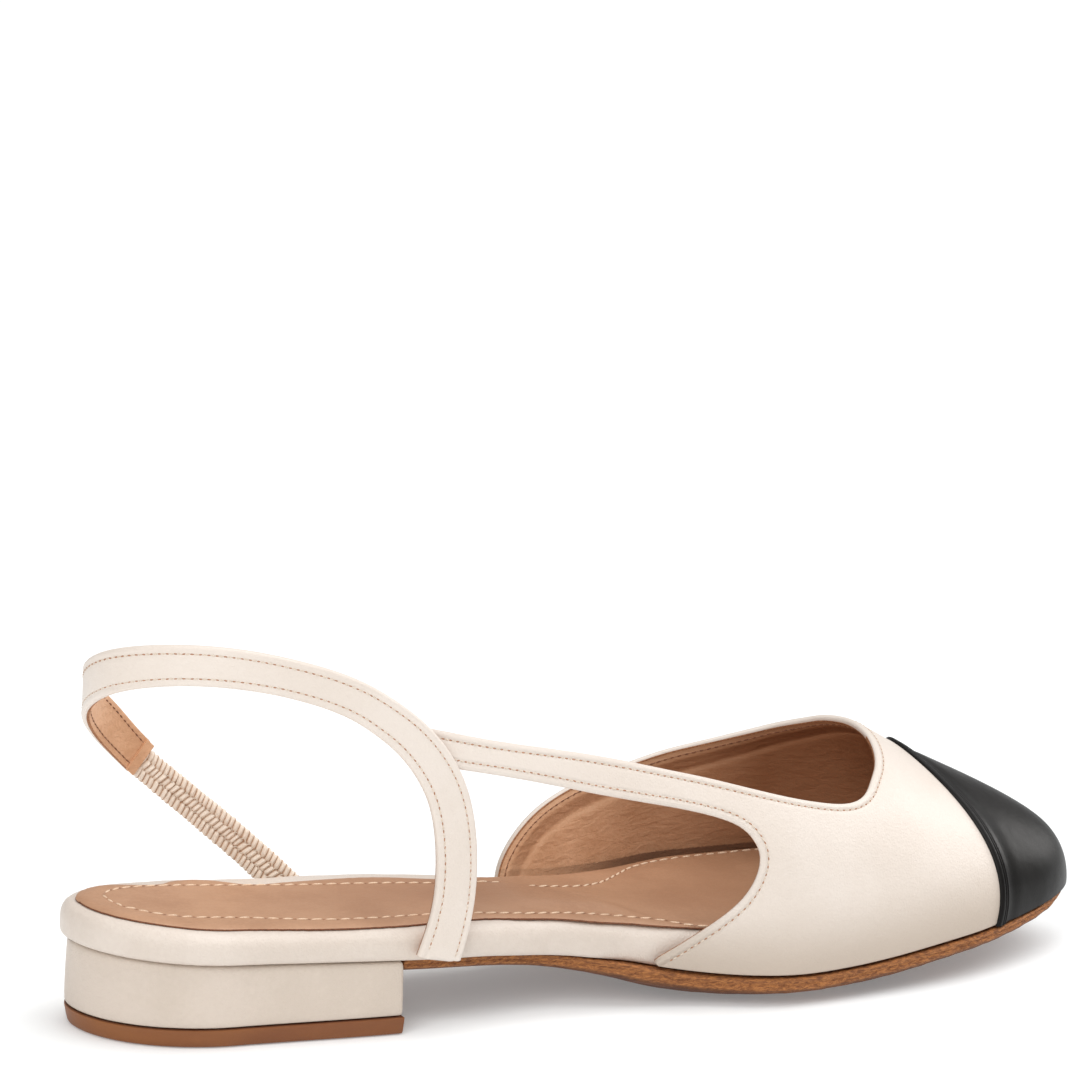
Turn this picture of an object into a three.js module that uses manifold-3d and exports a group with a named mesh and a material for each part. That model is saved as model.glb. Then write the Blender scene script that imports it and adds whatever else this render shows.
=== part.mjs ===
// Sling back flat, right shoe, size 37 to 38. Millimetres, +X to the toe, +Z up, inner side +Y.
// Sizes count from the back of the heel; the finished part's origin is under the middle of the heel.
import * as THREE from 'three';
import { mergeVertices } from 'three/addons/utils/BufferGeometryUtils.js';
import Module from 'manifold-3d';

const wasm = await Module();
wasm.setup();

// Driving sizes
const ORIGIN_AHEAD = 34;
const SOLE_LENGTH = 250;
const HEEL_ROUND = 32.7;
const RIM_OVERHANG = 0.9;
const HEEL_BLOCK_LENGTH = 69.8;
const TOP_PIECE_THICKNESS = 4.2;
const TOP_PIECE_LIP = 1.0;
const WALL = 1.8;
const CAP_THICKNESS = 1.0;
const CAP_PROUD = 0.35;
const CAP_BAND_WIDTH = 2.9;
const CAP_BAND_PROUD = 0.6;
const SOCK_THICKNESS = 0.7;
const TOE_TUCK = 2.8;
const SOCK_INSET_OUTER = 3.8;
const SOCK_INSET_INNER = 6.0;
const SOCK_INSET_ARCH = 2.4;
const SOCK_INSET_HEEL = 3.4;
const STRAP_THICKNESS = 2.0;
const ELASTIC_THICKNESS = 2.4;
const ELASTIC_RIPPLE = 0.55;
const GAP = 0.3;
const TOE_TIP_Y = 0.9;
const TOE_CENTRE = 195;
const SEAM_FRONT = 221.1;
const SEAM_FRONT_Z = 20;
const SEAM_BOW = 0.0165;
const TIDY = 0.02;

// Plan of the sole: half widths, outer and inner side
const PLAN = [
  { x: 32.7, outer: 27.6, inner: 21.0 },
  { x: 75, outer: 30.3, inner: 20.2 },
  { x: 94, outer: 26.7, inner: 18.6 },
  { x: 110, outer: 24.0, inner: 18.9 },
  { x: 140, outer: 28.8, inner: 28.2 },
  { x: 165, outer: 36.4, inner: 37.7 },
  { x: 190, outer: 34.0, inner: 38.8 },
  { x: 215, outer: 28.7, inner: 32.5 },
  { x: 225, outer: 24.2, inner: 27.8 },
  { x: 235, outer: 18.9, inner: 21.9 },
];

// Side view: bed = top of the footbed, seat = its underside, edge = lower edge of the sole,
// keel = middle of the sole underneath
const PROFILE = [
  { x: 0, bed: 28.4, seat: 20.4, edge: 17.2, keel: 16.6 },
  { x: 13, bed: 27.4, seat: 19.8, edge: 16.6, keel: 16.0 },
  { x: 30, bed: 26.0, seat: 19.0, edge: 15.9, keel: 15.3 },
  { x: 55, bed: 24.8, seat: 17.9, edge: 15.0, keel: 14.3 },
  { x: 76, bed: 24.1, seat: 16.9, edge: 14.2, keel: 13.3 },
  { x: 89, bed: 23.2, seat: 15.7, edge: 13.0, keel: 12.0 },
  { x: 101, bed: 22.0, seat: 14.2, edge: 11.5, keel: 10.3 },
  { x: 113, bed: 20.7, seat: 12.7, edge: 9.6, keel: 7.9 },
  { x: 124, bed: 19.0, seat: 10.9, edge: 7.6, keel: 5.2 },
  { x: 135, bed: 17.6, seat: 8.7, edge: 5.2, keel: 2.0 },
  { x: 145, bed: 16.8, seat: 7.3, edge: 3.9, keel: 0.35 },
  { x: 152, bed: 16.4, seat: 6.9, edge: 3.5, keel: 0 },
  { x: 166, bed: 15.9, seat: 6.8, edge: 3.5, keel: 0 },
  { x: 180, bed: 15.7, seat: 7.3, edge: 4.2, keel: 0 },
  { x: 190, bed: 15.6, seat: 8.1, edge: 5.0, keel: 0.8 },
  { x: 203, bed: 15.9, seat: 9.5, edge: 6.6, keel: 2.7 },
  { x: 217, bed: 16.7, seat: 10.8, edge: 8.1, keel: 5.0 },
  { x: 234, bed: 18.2, seat: 12.5, edge: 10.0, keel: 8.3 },
  { x: 250, bed: 20.0, seat: 14.4, edge: 12.2, keel: 11.6 },
];

// Last: ridge height and place, and how far each side swells past the feather line
const LAST = [
  { x: 60, ridge: 118, ridgeY: 2, swellOuter: 3.5, swellInner: 2 },
  { x: 75, ridge: 112, ridgeY: 2, swellOuter: 4.4, swellInner: 2.5 },
  { x: 96, ridge: 101, ridgeY: 2, swellOuter: 7.6, swellInner: 3 },
  { x: 110, ridge: 94, ridgeY: 2, swellOuter: 9.8, swellInner: 3.4 },
  { x: 124, ridge: 87, ridgeY: 2.6, swellOuter: 9.0, swellInner: 3.4 },
  { x: 146, ridge: 76.5, ridgeY: 5.4, swellOuter: 5.0, swellInner: 2.2 },
  { x: 168, ridge: 66.5, ridgeY: 7, swellOuter: 2.4, swellInner: 1.5 },
  { x: 190, ridge: 57.3, ridgeY: 9, swellOuter: 1.6, swellInner: 1.2 },
  { x: 200, ridge: 52.2, ridgeY: 10, swellOuter: 1.4, swellInner: 1.2 },
  { x: 210, ridge: 46.4, ridgeY: 9.4, swellOuter: 1.2, swellInner: 1.1 },
  { x: 218, ridge: 42.4, ridgeY: 8, swellOuter: 1.1, swellInner: 1.0 },
  { x: 227, ridge: 38.1, ridgeY: 6, swellOuter: 1.0, swellInner: 0.9 },
  { x: 237, ridge: 32.8, ridgeY: 4, swellOuter: 0.8, swellInner: 0.8 },
  { x: 244, ridge: 28.2, ridgeY: 2.6, swellOuter: 0.5, swellInner: 0.5 },
  { x: 248.4, ridge: 23.8, ridgeY: 1.4, swellOuter: 0.2, swellInner: 0.2 },
  { x: 250, ridge: 19.8, ridgeY: 0.9, swellOuter: 0, swellInner: 0 },
];
const ROUND_OUTER = 1.9;
const ROUND_INNER = 2.2;

// Centre line of the sling strap, from the outer side round the back of the heel to the inner side;
// face = turn of its outer face from the outer side, in degrees
const SLING = [
  { x: 76.2, y: -31.9, z: 17.4, face: -6, width: 10.8 },
  { x: 77.9, y: -31.8, z: 22.4, face: -5, width: 10.4 },
  { x: 80.0, y: -31.5, z: 31.1, face: -4, width: 9.9 },
  { x: 80.4, y: -31.0, z: 42.6, face: -2, width: 9.6 },
  { x: 78.3, y: -30.5, z: 55.0, face: 0, width: 9.3 },
  { x: 72.9, y: -30.1, z: 64.6, face: 2, width: 9.0 },
  { x: 65.4, y: -29.9, z: 72.2, face: 3, width: 8.6 },
  { x: 53.8, y: -29.3, z: 79.2, face: 5, width: 8.3 },
  { x: 42.2, y: -28.1, z: 83.4, face: 9, width: 8.3 },
  { x: 31.0, y: -25.9, z: 86.0, face: 17, width: 8.6 },
  { x: 20.9, y: -22.2, z: 86.9, face: 30, width: 8.9 },
  { x: 12.0, y: -16.2, z: 86.0, face: 48, width: 9.1 },
  { x: 6.0, y: -8.2, z: 83.3, face: 70, width: 9.3 },
  { x: 4.4, y: 0.4, z: 79.0, face: 92, width: 9.4 },
  { x: 6.4, y: 8.6, z: 73.8, face: 116, width: 9.4 },
  { x: 11.4, y: 15.4, z: 67.8, face: 138, width: 9.4 },
  { x: 18.2, y: 20.6, z: 61.3, face: 156, width: 9.4 },
  { x: 25.8, y: 24.0, z: 54.2, face: 168, width: 9.4 },
];

// Centre line of the elastic, from the end of the strap down to the inner edge of the footbed
const ELASTIC = [
  { x: 26.06, y: 24.12, z: 53.94, face: 168, width: 7.4 },
  { x: 32.2, y: 25.0, z: 48.4, face: 174, width: 7.4 },
  { x: 41.9, y: 24.4, z: 39.65, face: 179, width: 7.3 },
  { x: 53.1, y: 23.0, z: 29.5, face: 182, width: 7.3 },
  { x: 59.2, y: 22.1, z: 23.7, face: 182, width: 7.4 },
  { x: 64.2, y: 21.8, z: 18.9, face: 181, width: 7.4 },
];

// Outer side, side view: lower edge of the instep strap, then the cut down to the sole
const OUTER_CUT = [
  { x: 66, z: 64.6 },
  { x: 80.3, z: 60.5 },
  { x: 93, z: 57.8 },
  { x: 106, z: 54.9 },
  { x: 121, z: 51.2 },
  { x: 136, z: 47.6 },
  { x: 146, z: 44.7 },
  { x: 152, z: 42.4 },
  { x: 155.4, z: 39.9 },
  { x: 156.7, z: 36.6 },
  { x: 156.0, z: 32.6 },
  { x: 153.6, z: 27.6 },
  { x: 150.0, z: 23.2 },
  { x: 143.6, z: 17.8 },
  { x: 137.2, z: 13.2 },
  { x: 131.4, z: 9.4 },
  { x: 127.4, z: 4.0 },
];

// Outer side, side view: upper edge of the instep strap up to the corner of the throat
const OUTER_TOP = [
  { x: 66, z: 73.0 },
  { x: 72.5, z: 71.2 },
  { x: 84, z: 68.2 },
  { x: 96.5, z: 65.1 },
  { x: 110, z: 61.8 },
  { x: 124, z: 58.3 },
  { x: 135, z: 55.2 },
  { x: 146.3, z: 52.0 },
  { x: 157, z: 48.9 },
  { x: 167.6, z: 45.9 },
  { x: 175, z: 44.1 },
  { x: 181, z: 43.0 },
  { x: 185.2, z: 43.0 },
  { x: 188.4, z: 44.4 },
  { x: 190.2, z: 46.6 },
  { x: 191.2, z: 50.0 },
  { x: 191.8, z: 62.0 },
];

// Inner side, side view: back edge of the quarter and its top line up to the throat
const INNER_TOP = [
  { x: 112.6, z: 4.0 },
  { x: 113.2, z: 14.0 },
  { x: 113.2, z: 20.0 },
  { x: 116.2, z: 25.8 },
  { x: 123.0, z: 32.2 },
  { x: 133.6, z: 36.7 },
  { x: 143, z: 38.9 },
  { x: 153.4, z: 40.3 },
  { x: 164, z: 42.2 },
  { x: 174, z: 44.1 },
  { x: 184, z: 46.5 },
  { x: 190, z: 48.4 },
  { x: 194.5, z: 49.4 },
  { x: 197.6, z: 51.2 },
  { x: 199.6, z: 58.0 },
  { x: 199.8, z: 70.0 },
];

// Front of the throat in plan
const THROAT = [
  { x: 120, y: -4 },
  { x: 165, y: -8 },
  { x: 182, y: -13.4 },
  { x: 189.8, y: -17.6 },
  { x: 192.5, y: -14.8 },
  { x: 194.6, y: -11.2 },
  { x: 196.3, y: -7.2 },
  { x: 197.6, y: -3.0 },
  { x: 198.7, y: 2.0 },
  { x: 199.4, y: 7.0 },
  { x: 199.8, y: 12.0 },
  { x: 199.2, y: 16.6 },
  { x: 197.4, y: 20.2 },
  { x: 188, y: 15.0 },
  { x: 165, y: 8 },
  { x: 120, y: 4 },
];

// Smooth reading of a table: a curve through its rows that never overshoots between two rows
function curve(rows, key, at = 'x') {
  const u = rows.map((row) => row[at]);
  const v = rows.map((row) => row[key]);
  const n = u.length;
  const slope = [];
  for (let i = 0; i < n - 1; i += 1) {
    slope.push((v[i + 1] - v[i]) / (u[i + 1] - u[i]));
  }
  const m = [slope[0]];
  for (let i = 1; i < n - 1; i += 1) {
    const same = slope[i - 1] * slope[i] > 0;
    m.push(same ? (2 * slope[i - 1] * slope[i]) / (slope[i - 1] + slope[i]) : 0);
  }
  m.push(slope[n - 2]);
  return (x) => {
    if (x <= u[0]) {
      return v[0];
    }
    if (x >= u[n - 1]) {
      return v[n - 1];
    }
    let i = 0;
    while (x > u[i + 1]) {
      i += 1;
    }
    const h = u[i + 1] - u[i];
    const t = (x - u[i]) / h;
    const t2 = t * t;
    const t3 = t2 * t;
    return v[i] * (2 * t3 - 3 * t2 + 1) + m[i] * h * (t3 - 2 * t2 + t)
      + v[i + 1] * (3 * t2 - 2 * t3) + m[i + 1] * h * (t3 - t2);
  };
}

function smooth(a, b, x) {
  const t = Math.min(Math.max((x - a) / (b - a), 0), 1);
  return t * t * (3 - 2 * t);
}

const OUTER = -1;
const INNER = 1;
const planOuter = curve(PLAN, 'outer');
const planInner = curve(PLAN, 'inner');
const bed = curve(PROFILE, 'bed');
const seat = curve(PROFILE, 'seat');
const edge = curve(PROFILE, 'edge');
const keel = curve(PROFILE, 'keel');
const ridge = curve(LAST, 'ridge');
const ridgeY = curve(LAST, 'ridgeY');
const swellOuter = curve(LAST, 'swellOuter');
const swellInner = curve(LAST, 'swellInner');
const PLAN_END = PLAN[PLAN.length - 1].x;

// Rounding of the toe: an ellipse from the end of the plan table to the tip
function toeRound(x) {
  const part = (u) => Math.min((u - TOE_CENTRE) / (SOLE_LENGTH - TOE_CENTRE), 1);
  return Math.sqrt(1 - part(x) ** 2) / Math.sqrt(1 - part(PLAN_END) ** 2);
}

// Half width of the plan at a station, rounded at the heel and at the toe
function halfWidth(x, side) {
  const plan = side === OUTER ? planOuter : planInner;
  if (x < HEEL_ROUND) {
    const t = (HEEL_ROUND - Math.max(x, 0)) / HEEL_ROUND;
    return plan(HEEL_ROUND) * Math.sqrt(1 - t * t);
  }
  if (x <= PLAN_END) {
    return plan(x);
  }
  const end = side * TOE_TIP_Y;
  return end + (plan(PLAN_END) - end) * toeRound(x);
}

// Stations along a length, closer together at a rounded start or end
function stations(from, to, step, roundStart, roundEnd) {
  const xs = [];
  const startEnd = from + roundStart;
  const endStart = to - roundEnd;
  const startCount = roundStart > 0 ? 9 : 0;
  for (let i = 0; i < startCount; i += 1) {
    xs.push(from + roundStart * (1 - Math.cos((Math.PI / 2) * (i / startCount))));
  }
  const middle = Math.max(1, Math.round((endStart - startEnd) / step));
  for (let i = 0; i <= middle; i += 1) {
    xs.push(startEnd + ((endStart - startEnd) * i) / middle);
  }
  const endCount = roundEnd > 0 ? 10 : 0;
  for (let i = 1; i <= endCount; i += 1) {
    xs.push(endStart + roundEnd * Math.sin((Math.PI / 2) * (i / endCount)));
  }
  return xs;
}

// Solids from closed rings of points, each ring with the same count
function ringSolid(rings, capStart, capEnd) {
  const n = rings[0].length;
  const position = [];
  const index = [];
  for (const ring of rings) {
    for (const p of ring) {
      position.push(p[0], p[1], p[2]);
    }
  }
  for (let r = 0; r < rings.length - 1; r += 1) {
    for (let i = 0; i < n; i += 1) {
      const a = r * n + i;
      const b = r * n + ((i + 1) % n);
      index.push(a, b, b + n, a, b + n, a + n);
    }
  }
  const last = (rings.length - 1) * n;
  for (const [i, j, k] of capStart) {
    index.push(k, j, i);
  }
  for (const [i, j, k] of capEnd) {
    index.push(last + i, last + j, last + k);
  }
  return solidFrom(position, index);
}

// Closed surface with shared corners; triangles that have shrunk to a line are left out
function solidFrom(position, index) {
  const raw = new THREE.BufferGeometry();
  raw.setAttribute('position', new THREE.Float32BufferAttribute(position, 3));
  raw.setIndex(index);
  const merged = mergeVertices(raw, 1e-4);
  const source = merged.index.array;
  const kept = [];
  for (let i = 0; i < source.length; i += 3) {
    const a = source[i];
    const b = source[i + 1];
    const c = source[i + 2];
    if (a !== b && b !== c && a !== c) {
      kept.push(a, b, c);
    }
  }
  const mesh = new wasm.Mesh({
    numProp: 3,
    vertProperties: new Float32Array(merged.attributes.position.array),
    triVerts: new Uint32Array(kept),
  });
  const body = new wasm.Manifold(mesh);
  if (body.volume() < 0) {
    throw new Error('a solid is inside out');
  }
  return body;
}

// Fan caps for rings that are nearly flat and star shaped
function fanCap(n) {
  const faces = [];
  for (let i = 1; i < n - 1; i += 1) {
    faces.push([0, i, i + 1]);
  }
  return faces;
}

// Caps in strips across a loop made of one side and then the other
function stripCap(half) {
  const faces = [];
  const n = 2 * half;
  for (let i = 0; i < half - 1; i += 1) {
    faces.push([i, i + 1, n - 2 - i]);
    faces.push([i, n - 2 - i, n - 1 - i]);
  }
  return faces;
}

// Plan loop: outer side from the toe to the heel, then inner side from the heel to the toe
function planLoop(xs, grow) {
  const side = (s) => {
    const points = xs.map((x) => [x, s * halfWidth(x, s)]);
    return points.map((p, i) => {
      const a = points[Math.max(i - 1, 0)];
      const b = points[Math.min(i + 1, points.length - 1)];
      const dx = b[0] - a[0];
      const dy = (b[1] - a[1]) * s;
      const size = Math.hypot(dx, dy) || 1;
      const closed = Math.abs(halfWidth(p[0], s)) < 1.2;
      const back = closed && p[0] < HEEL_ROUND;
      const front = closed && p[0] > PLAN_END;
      let nx = -dy / size;
      let ny = dx / size;
      if (back) {
        nx = -1;
        ny = 0;
      }
      if (front) {
        nx = 1;
        ny = 0;
      }
      return { x: p[0], y: p[1], nx, ny: ny * s, side: s, grow: grow(p[0], s) };
    });
  };
  return { outer: side(OUTER), inner: side(INNER) };
}

// Slab on a plan loop: levels from the bottom up, each with an inset and a height
function slab(xs, levels, options = {}) {
  const grow = options.grow || (() => 0);
  const loop = planLoop(xs, grow);
  const flatStart = options.flatStart;
  const rings = levels.map((level) => {
    const place = (q) => {
      const push = q.grow - (level.inset || 0);
      let x = q.x + q.nx * push;
      if (flatStart !== undefined) {
        x = Math.max(x, flatStart);
        if (q.x <= xs[0]) {
          x = flatStart;
        }
      }
      const y = (q.y + q.ny * push) * (level.narrow || 1);
      return [x, y, level.z(x, q.side)];
    };
    const outer = loop.outer.map(place).reverse();
    const inner = loop.inner.map(place);
    return outer.concat(inner).reverse();
  });
  const half = xs.length;
  return ringSolid(rings, stripCap(half), stripCap(half));
}

// Shell of the last, offset outwards by a distance
function lastPoint(x, turn, offset) {
  const side = turn < 0 ? OUTER : INNER;
  const round = side === OUTER ? ROUND_OUTER : ROUND_INNER;
  const middle = ridgeY(x);
  const angle = (Math.PI / 2) * (1 - Math.abs(turn));
  const across = Math.max(halfWidth(x, side) - side * middle, 0) + offset * toeFade(x);
  const foot = seat(x) + GAP;
  const up = Math.max(ridge(x) - foot + offset, 1);
  const u = Math.cos(angle) ** (2 / round);
  const v = Math.sin(angle) ** (2 / round);
  const swell = (side === OUTER ? swellOuter(x) : swellInner(x)) * Math.sin(Math.PI * v);
  return [x, middle + side * (across * u + swell), foot + up * v];
}

// The width offset fades out right at the toe, where both sides meet
function toeFade(x) {
  return x > PLAN_END ? Math.min(toeRound(x) * 1.6, 1) : 1;
}

const ARC = 17;
const LAST_BACK = 62;

// Closed form of the last; drop carries its underside further down
function lastSolid(offset, drop, rows, stationOf = (row) => row, extra = () => 0) {
  const tip = SOLE_LENGTH + offset;
  const rings = rows.map((row) => {
    const ring = [];
    for (let i = -ARC; i <= ARC; i += 1) {
      const turn = i / ARC;
      const x = stationOf(row, turn);
      const p = lastPoint(x, turn, offset + extra(row));
      const stretch = (x - LAST_BACK) / (SOLE_LENGTH - LAST_BACK);
      ring.push([LAST_BACK + stretch * (tip - LAST_BACK), p[1], p[2]]);
    }
    if (drop > 0) {
      const first = ring[0];
      const final = ring[ring.length - 1];
      ring.push([final[0], final[1], final[2] - drop]);
      ring.unshift([first[0], first[1], first[2] - drop]);
    }
    return ring.reverse();
  });
  const cap = bowCap(rings[0].length);
  return ringSolid(rings, cap, cap);
}

// Cap for a bow shaped ring with one point at its crown
function bowCap(n) {
  const faces = [];
  const crown = (n - 1) / 2;
  for (let i = 0; i < crown - 1; i += 1) {
    faces.push([i, i + 1, n - 2 - i]);
    faces.push([i, n - 2 - i, n - 1 - i]);
  }
  faces.push([crown - 1, crown, crown + 1]);
  return faces;
}

// Straight sided cutter from a flat outline
function prism(outline, depth, toWorld) {
  const shape = new THREE.Shape(outline.map((p) => new THREE.Vector2(p[0], p[1])));
  const geometry = new THREE.ExtrudeGeometry(shape, { depth, bevelEnabled: false, steps: 1 });
  geometry.applyMatrix4(toWorld);
  geometry.deleteAttribute('normal');
  geometry.deleteAttribute('uv');
  const merged = mergeVertices(geometry, 1e-4);
  return solidFrom(Array.from(merged.attributes.position.array), Array.from(merged.index.array));
}

// Cutter seen from the side, from one width to another
function sidePrism(outline, yFrom, yTo) {
  const world = new THREE.Matrix4().makeRotationX(Math.PI / 2);
  world.setPosition(0, yTo, 0);
  return prism(outline, yTo - yFrom, world);
}

// Cutter seen from above
function planPrism(outline, zFrom, zTo) {
  return prism(outline, zTo - zFrom, new THREE.Matrix4().makeTranslation(0, 0, zFrom));
}

// Points of a table joined by a smooth line
function smoothLine(rows, keys, perSpan) {
  const points = rows.map((row) => new THREE.Vector3(row[keys[0]], row[keys[1]], 0));
  const line = new THREE.CatmullRomCurve3(points, false, 'centripetal');
  return line.getPoints((rows.length - 1) * perSpan).map((p) => [p.x, p.y]);
}

// Band along a centre line with rounded edges; ripple changes its thickness along the way
function band(rows, thickness, count, ripple = () => 0) {
  const points = rows.map((row) => new THREE.Vector3(row.x, row.y, row.z));
  const line = new THREE.CatmullRomCurve3(points, false, 'centripetal');
  const numbered = rows.map((row, i) => ({ x: i, face: row.face, width: row.width }));
  const face = curve(numbered, 'face');
  const width = curve(numbered, 'width');
  const rings = [];
  for (let i = 0; i <= count; i += 1) {
    const t = i / count;
    const centre = line.getPoint(t);
    const along = line.getTangent(t);
    const angle = THREE.MathUtils.degToRad(face(t * (rows.length - 1)));
    const out = new THREE.Vector3(-Math.sin(angle), -Math.cos(angle), 0);
    out.addScaledVector(along, -out.dot(along)).normalize();
    const across = new THREE.Vector3().crossVectors(along, out);
    const w = width(t * (rows.length - 1)) / 2;
    const h = (thickness + ripple(t)) / 2;
    const r = Math.min(0.6, h * 0.6);
    const section = [
      [-w, -h + r], [-w, h - r], [-w + r, h], [w - r, h],
      [w, h - r], [w, -h + r], [w - r, -h], [-w + r, -h],
    ];
    rings.push(section.map(([a, b]) => {
      const p = centre.clone().addScaledVector(across, a).addScaledVector(out, b);
      return [p.x, p.y, p.z];
    }));
  }
  return ringSolid(rings, fanCap(8), fanCap(8));
}

// Footbed with its covered edge, tucked in where the upper closes round it
function tuck(x, side) {
  const from = side === OUTER ? 117 : 101;
  const overhang = RIM_OVERHANG * (1 - smooth(14, 60, x));
  return overhang - (WALL + GAP) * smooth(from, from + 12, x) - TOE_TUCK * smooth(196, 238, x);
}
const bedStations = stations(0, SOLE_LENGTH, 9, HEEL_ROUND, 16);
const footbed = slab(bedStations, [
  { inset: 1.4, z: (x) => seat(x) },
  { inset: 0, z: (x) => seat(x) + 1.6 },
  { inset: 0, z: (x) => bed(x) - 3.0 },
  { inset: 0.7, z: (x) => bed(x) - 1.2 },
  { inset: 2.1, z: (x) => bed(x) - 0.15 },
  { inset: 3.4, z: (x) => bed(x) },
], { grow: tuck });

// Sock on the footbed
function sockEdge(x, side) {
  const toArch = (SOCK_INSET_INNER - SOCK_INSET_ARCH) * smooth(98, 118, x);
  const toToe = (SOCK_INSET_OUTER - SOCK_INSET_ARCH) * smooth(130, 210, x);
  const inset = side === OUTER ? SOCK_INSET_OUTER - toToe : SOCK_INSET_INNER - toArch;
  const inHeel = 1 - smooth(4, 45, x);
  return tuck(x, side) - inset + (inset - SOCK_INSET_HEEL) * inHeel;
}
const sock = slab(bedStations, [
  { inset: 0, z: (x) => bed(x) + GAP },
  { inset: 0, z: (x) => bed(x) + GAP + SOCK_THICKNESS * 0.6 },
  { inset: 0.6, z: (x) => bed(x) + GAP + SOCK_THICKNESS },
], { grow: sockEdge });

// Heel block and top piece
const heelStations = stations(0, HEEL_BLOCK_LENGTH, 9, HEEL_ROUND, 0);

// Slab that ends in a straight front face, the breast
function slabToBreast(xs, levels) {
  const loop = planLoop(xs, () => 0);
  const rings = levels.map((level) => {
    const place = (q) => {
      const push = -(level.inset || 0);
      const last = q.x >= xs[xs.length - 1];
      const x = last ? level.breast : Math.min(q.x + q.nx * push, level.breast - 0.4);
      return [x, q.y + q.ny * push, level.z(x)];
    };
    const outer = loop.outer.map(place).reverse();
    const inner = loop.inner.map(place);
    return outer.concat(inner).reverse();
  });
  return ringSolid(rings, stripCap(xs.length), stripCap(xs.length));
}
const blockBottom = TOP_PIECE_THICKNESS + GAP;
const heelBlock = slabToBreast(heelStations, [
  { inset: 0.6, breast: HEEL_BLOCK_LENGTH - 1.4, z: () => blockBottom },
  { inset: 0.5, breast: HEEL_BLOCK_LENGTH - 1.0, z: (x) => blockBottom + 0.35 * (seat(x) - blockBottom) },
  { inset: 0.9, breast: HEEL_BLOCK_LENGTH, z: (x) => seat(x) - GAP - 1.2 },
  { inset: 1.6, breast: HEEL_BLOCK_LENGTH, z: (x) => seat(x) - GAP },
]);
const topPiece = slabToBreast(heelStations, [
  { inset: 1.6, breast: HEEL_BLOCK_LENGTH - 0.6, z: () => 0 },
  { inset: 1.1, breast: HEEL_BLOCK_LENGTH - 0.2, z: () => 0.8 },
  { inset: 0.3, breast: HEEL_BLOCK_LENGTH + TOP_PIECE_LIP - 1, z: () => TOP_PIECE_THICKNESS },
]);

// Outsole from the breast of the heel to the toe
function soleEdge(x) {
  return -2.6 + 3.2 * smooth(96, 134, x) - 0.3 * smooth(225, 246, x);
}
const soleStart = HEEL_BLOCK_LENGTH + GAP;
const soleStations = stations(soleStart, SOLE_LENGTH, 8, 0, 16);
function rise(x, share) {
  return keel(x) + (edge(x) - keel(x)) * share;
}
const outsole = slab(soleStations, [
  { narrow: 0.42, z: (x) => rise(x, 0) },
  { narrow: 0.62, z: (x) => rise(x, 0.1) },
  { narrow: 0.78, z: (x) => rise(x, 0.34) },
  { narrow: 0.9, z: (x) => rise(x, 0.64) },
  { inset: 0.5, z: (x) => rise(x, 0.92) },
  { inset: 0, z: (x) => edge(x) + 0.5 },
  { inset: 0, z: (x) => seat(x) - GAP - 0.4 },
  { inset: 0.4, z: (x) => seat(x) - GAP },
], { grow: soleEdge, flatStart: soleStart });

// Upper: hollow shell of the last, cut open, with the instep strap left standing
const lastStations = stations(LAST_BACK, SOLE_LENGTH, 6.4, 0, 34);
const innerStations = [LAST_BACK - 6].concat(lastStations.slice(1));
const seamX = (z) => SEAM_FRONT - SEAM_BOW * (z - SEAM_FRONT_Z) ** 2;
const seamHeights = Array.from({ length: 31 }, (unused, i) => 60 - 2 * i);
const capZone = sidePrism([
  [300, 0], [300, 60], ...seamHeights.map((z) => [seamX(z), z]),
], -80, 80);
const whole = lastSolid(0, 0, lastStations);
const skived = lastSolid(CAP_PROUD - CAP_THICKNESS - GAP, 0, lastStations);
const hollow = lastSolid(-WALL, 8, innerStations);
let shell = whole.subtract(capZone.subtract(skived)).subtract(hollow);

const outerWindow = sidePrism([
  [40, 0], ...smoothLine(OUTER_CUT, ['x', 'z'], 2), [127, 0],
].reverse(), -80, 2);
const outerAbove = sidePrism([
  ...smoothLine(OUTER_TOP, ['x', 'z'], 2), [192, 140], [40, 140], [40, 73],
], -80, -2);
const innerAbove = sidePrism([
  [40, 2], [112.5, 2], ...smoothLine(INNER_TOP, ['x', 'z'], 2), [199.8, 140], [40, 140],
], 2, 80);
const throat = planPrism([
  [40, -4], ...smoothLine(THROAT, ['x', 'y'], 2), [40, 4],
], 30, 150);
const rearEnd = sidePrism([[40, 0], [70, 0], [70, 150], [40, 150]], -80, 80);
shell = shell.subtract(outerWindow).subtract(outerAbove).subtract(innerAbove);
shell = shell.subtract(throat).subtract(rearEnd);

const sling = band(SLING, STRAP_THICKNESS, 84);
const upper = shell.add(sling).simplify(TIDY);

// Toe cap over the skived front of the upper, with a folded band along its seam
const CAP_BAND_END = 4.6;
const capBand = [0, 0.35, 0.9, 1.35, 1.8, 2.5, CAP_BAND_WIDTH, 3.3, CAP_BAND_END];
function capProfile(distance) {
  const full = CAP_PROUD + CAP_BAND_PROUD * smooth(0, 0.9, distance);
  const folded = full - 0.35 * smooth(0.9, 1.3, distance) + 0.35 * smooth(1.4, 1.9, distance);
  return folded - CAP_BAND_PROUD * smooth(CAP_BAND_WIDTH - 0.5, CAP_BAND_WIDTH + 0.5, distance);
}
const capRows = capBand.map((fromSeam) => ({ fromSeam, toTip: 0 }));
for (let i = 1; i <= 15; i += 1) {
  capRows.push({ fromSeam: CAP_BAND_END, toTip: Math.sin((Math.PI / 2) * (i / 15)) });
}

// Station where the seam crosses a line of the last that runs to the toe
function seamStation(turn) {
  let x = SEAM_FRONT;
  for (let k = 0; k < 30; k += 1) {
    x = seamX(lastPoint(x, turn, 0)[2]);
  }
  return x;
}

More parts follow.
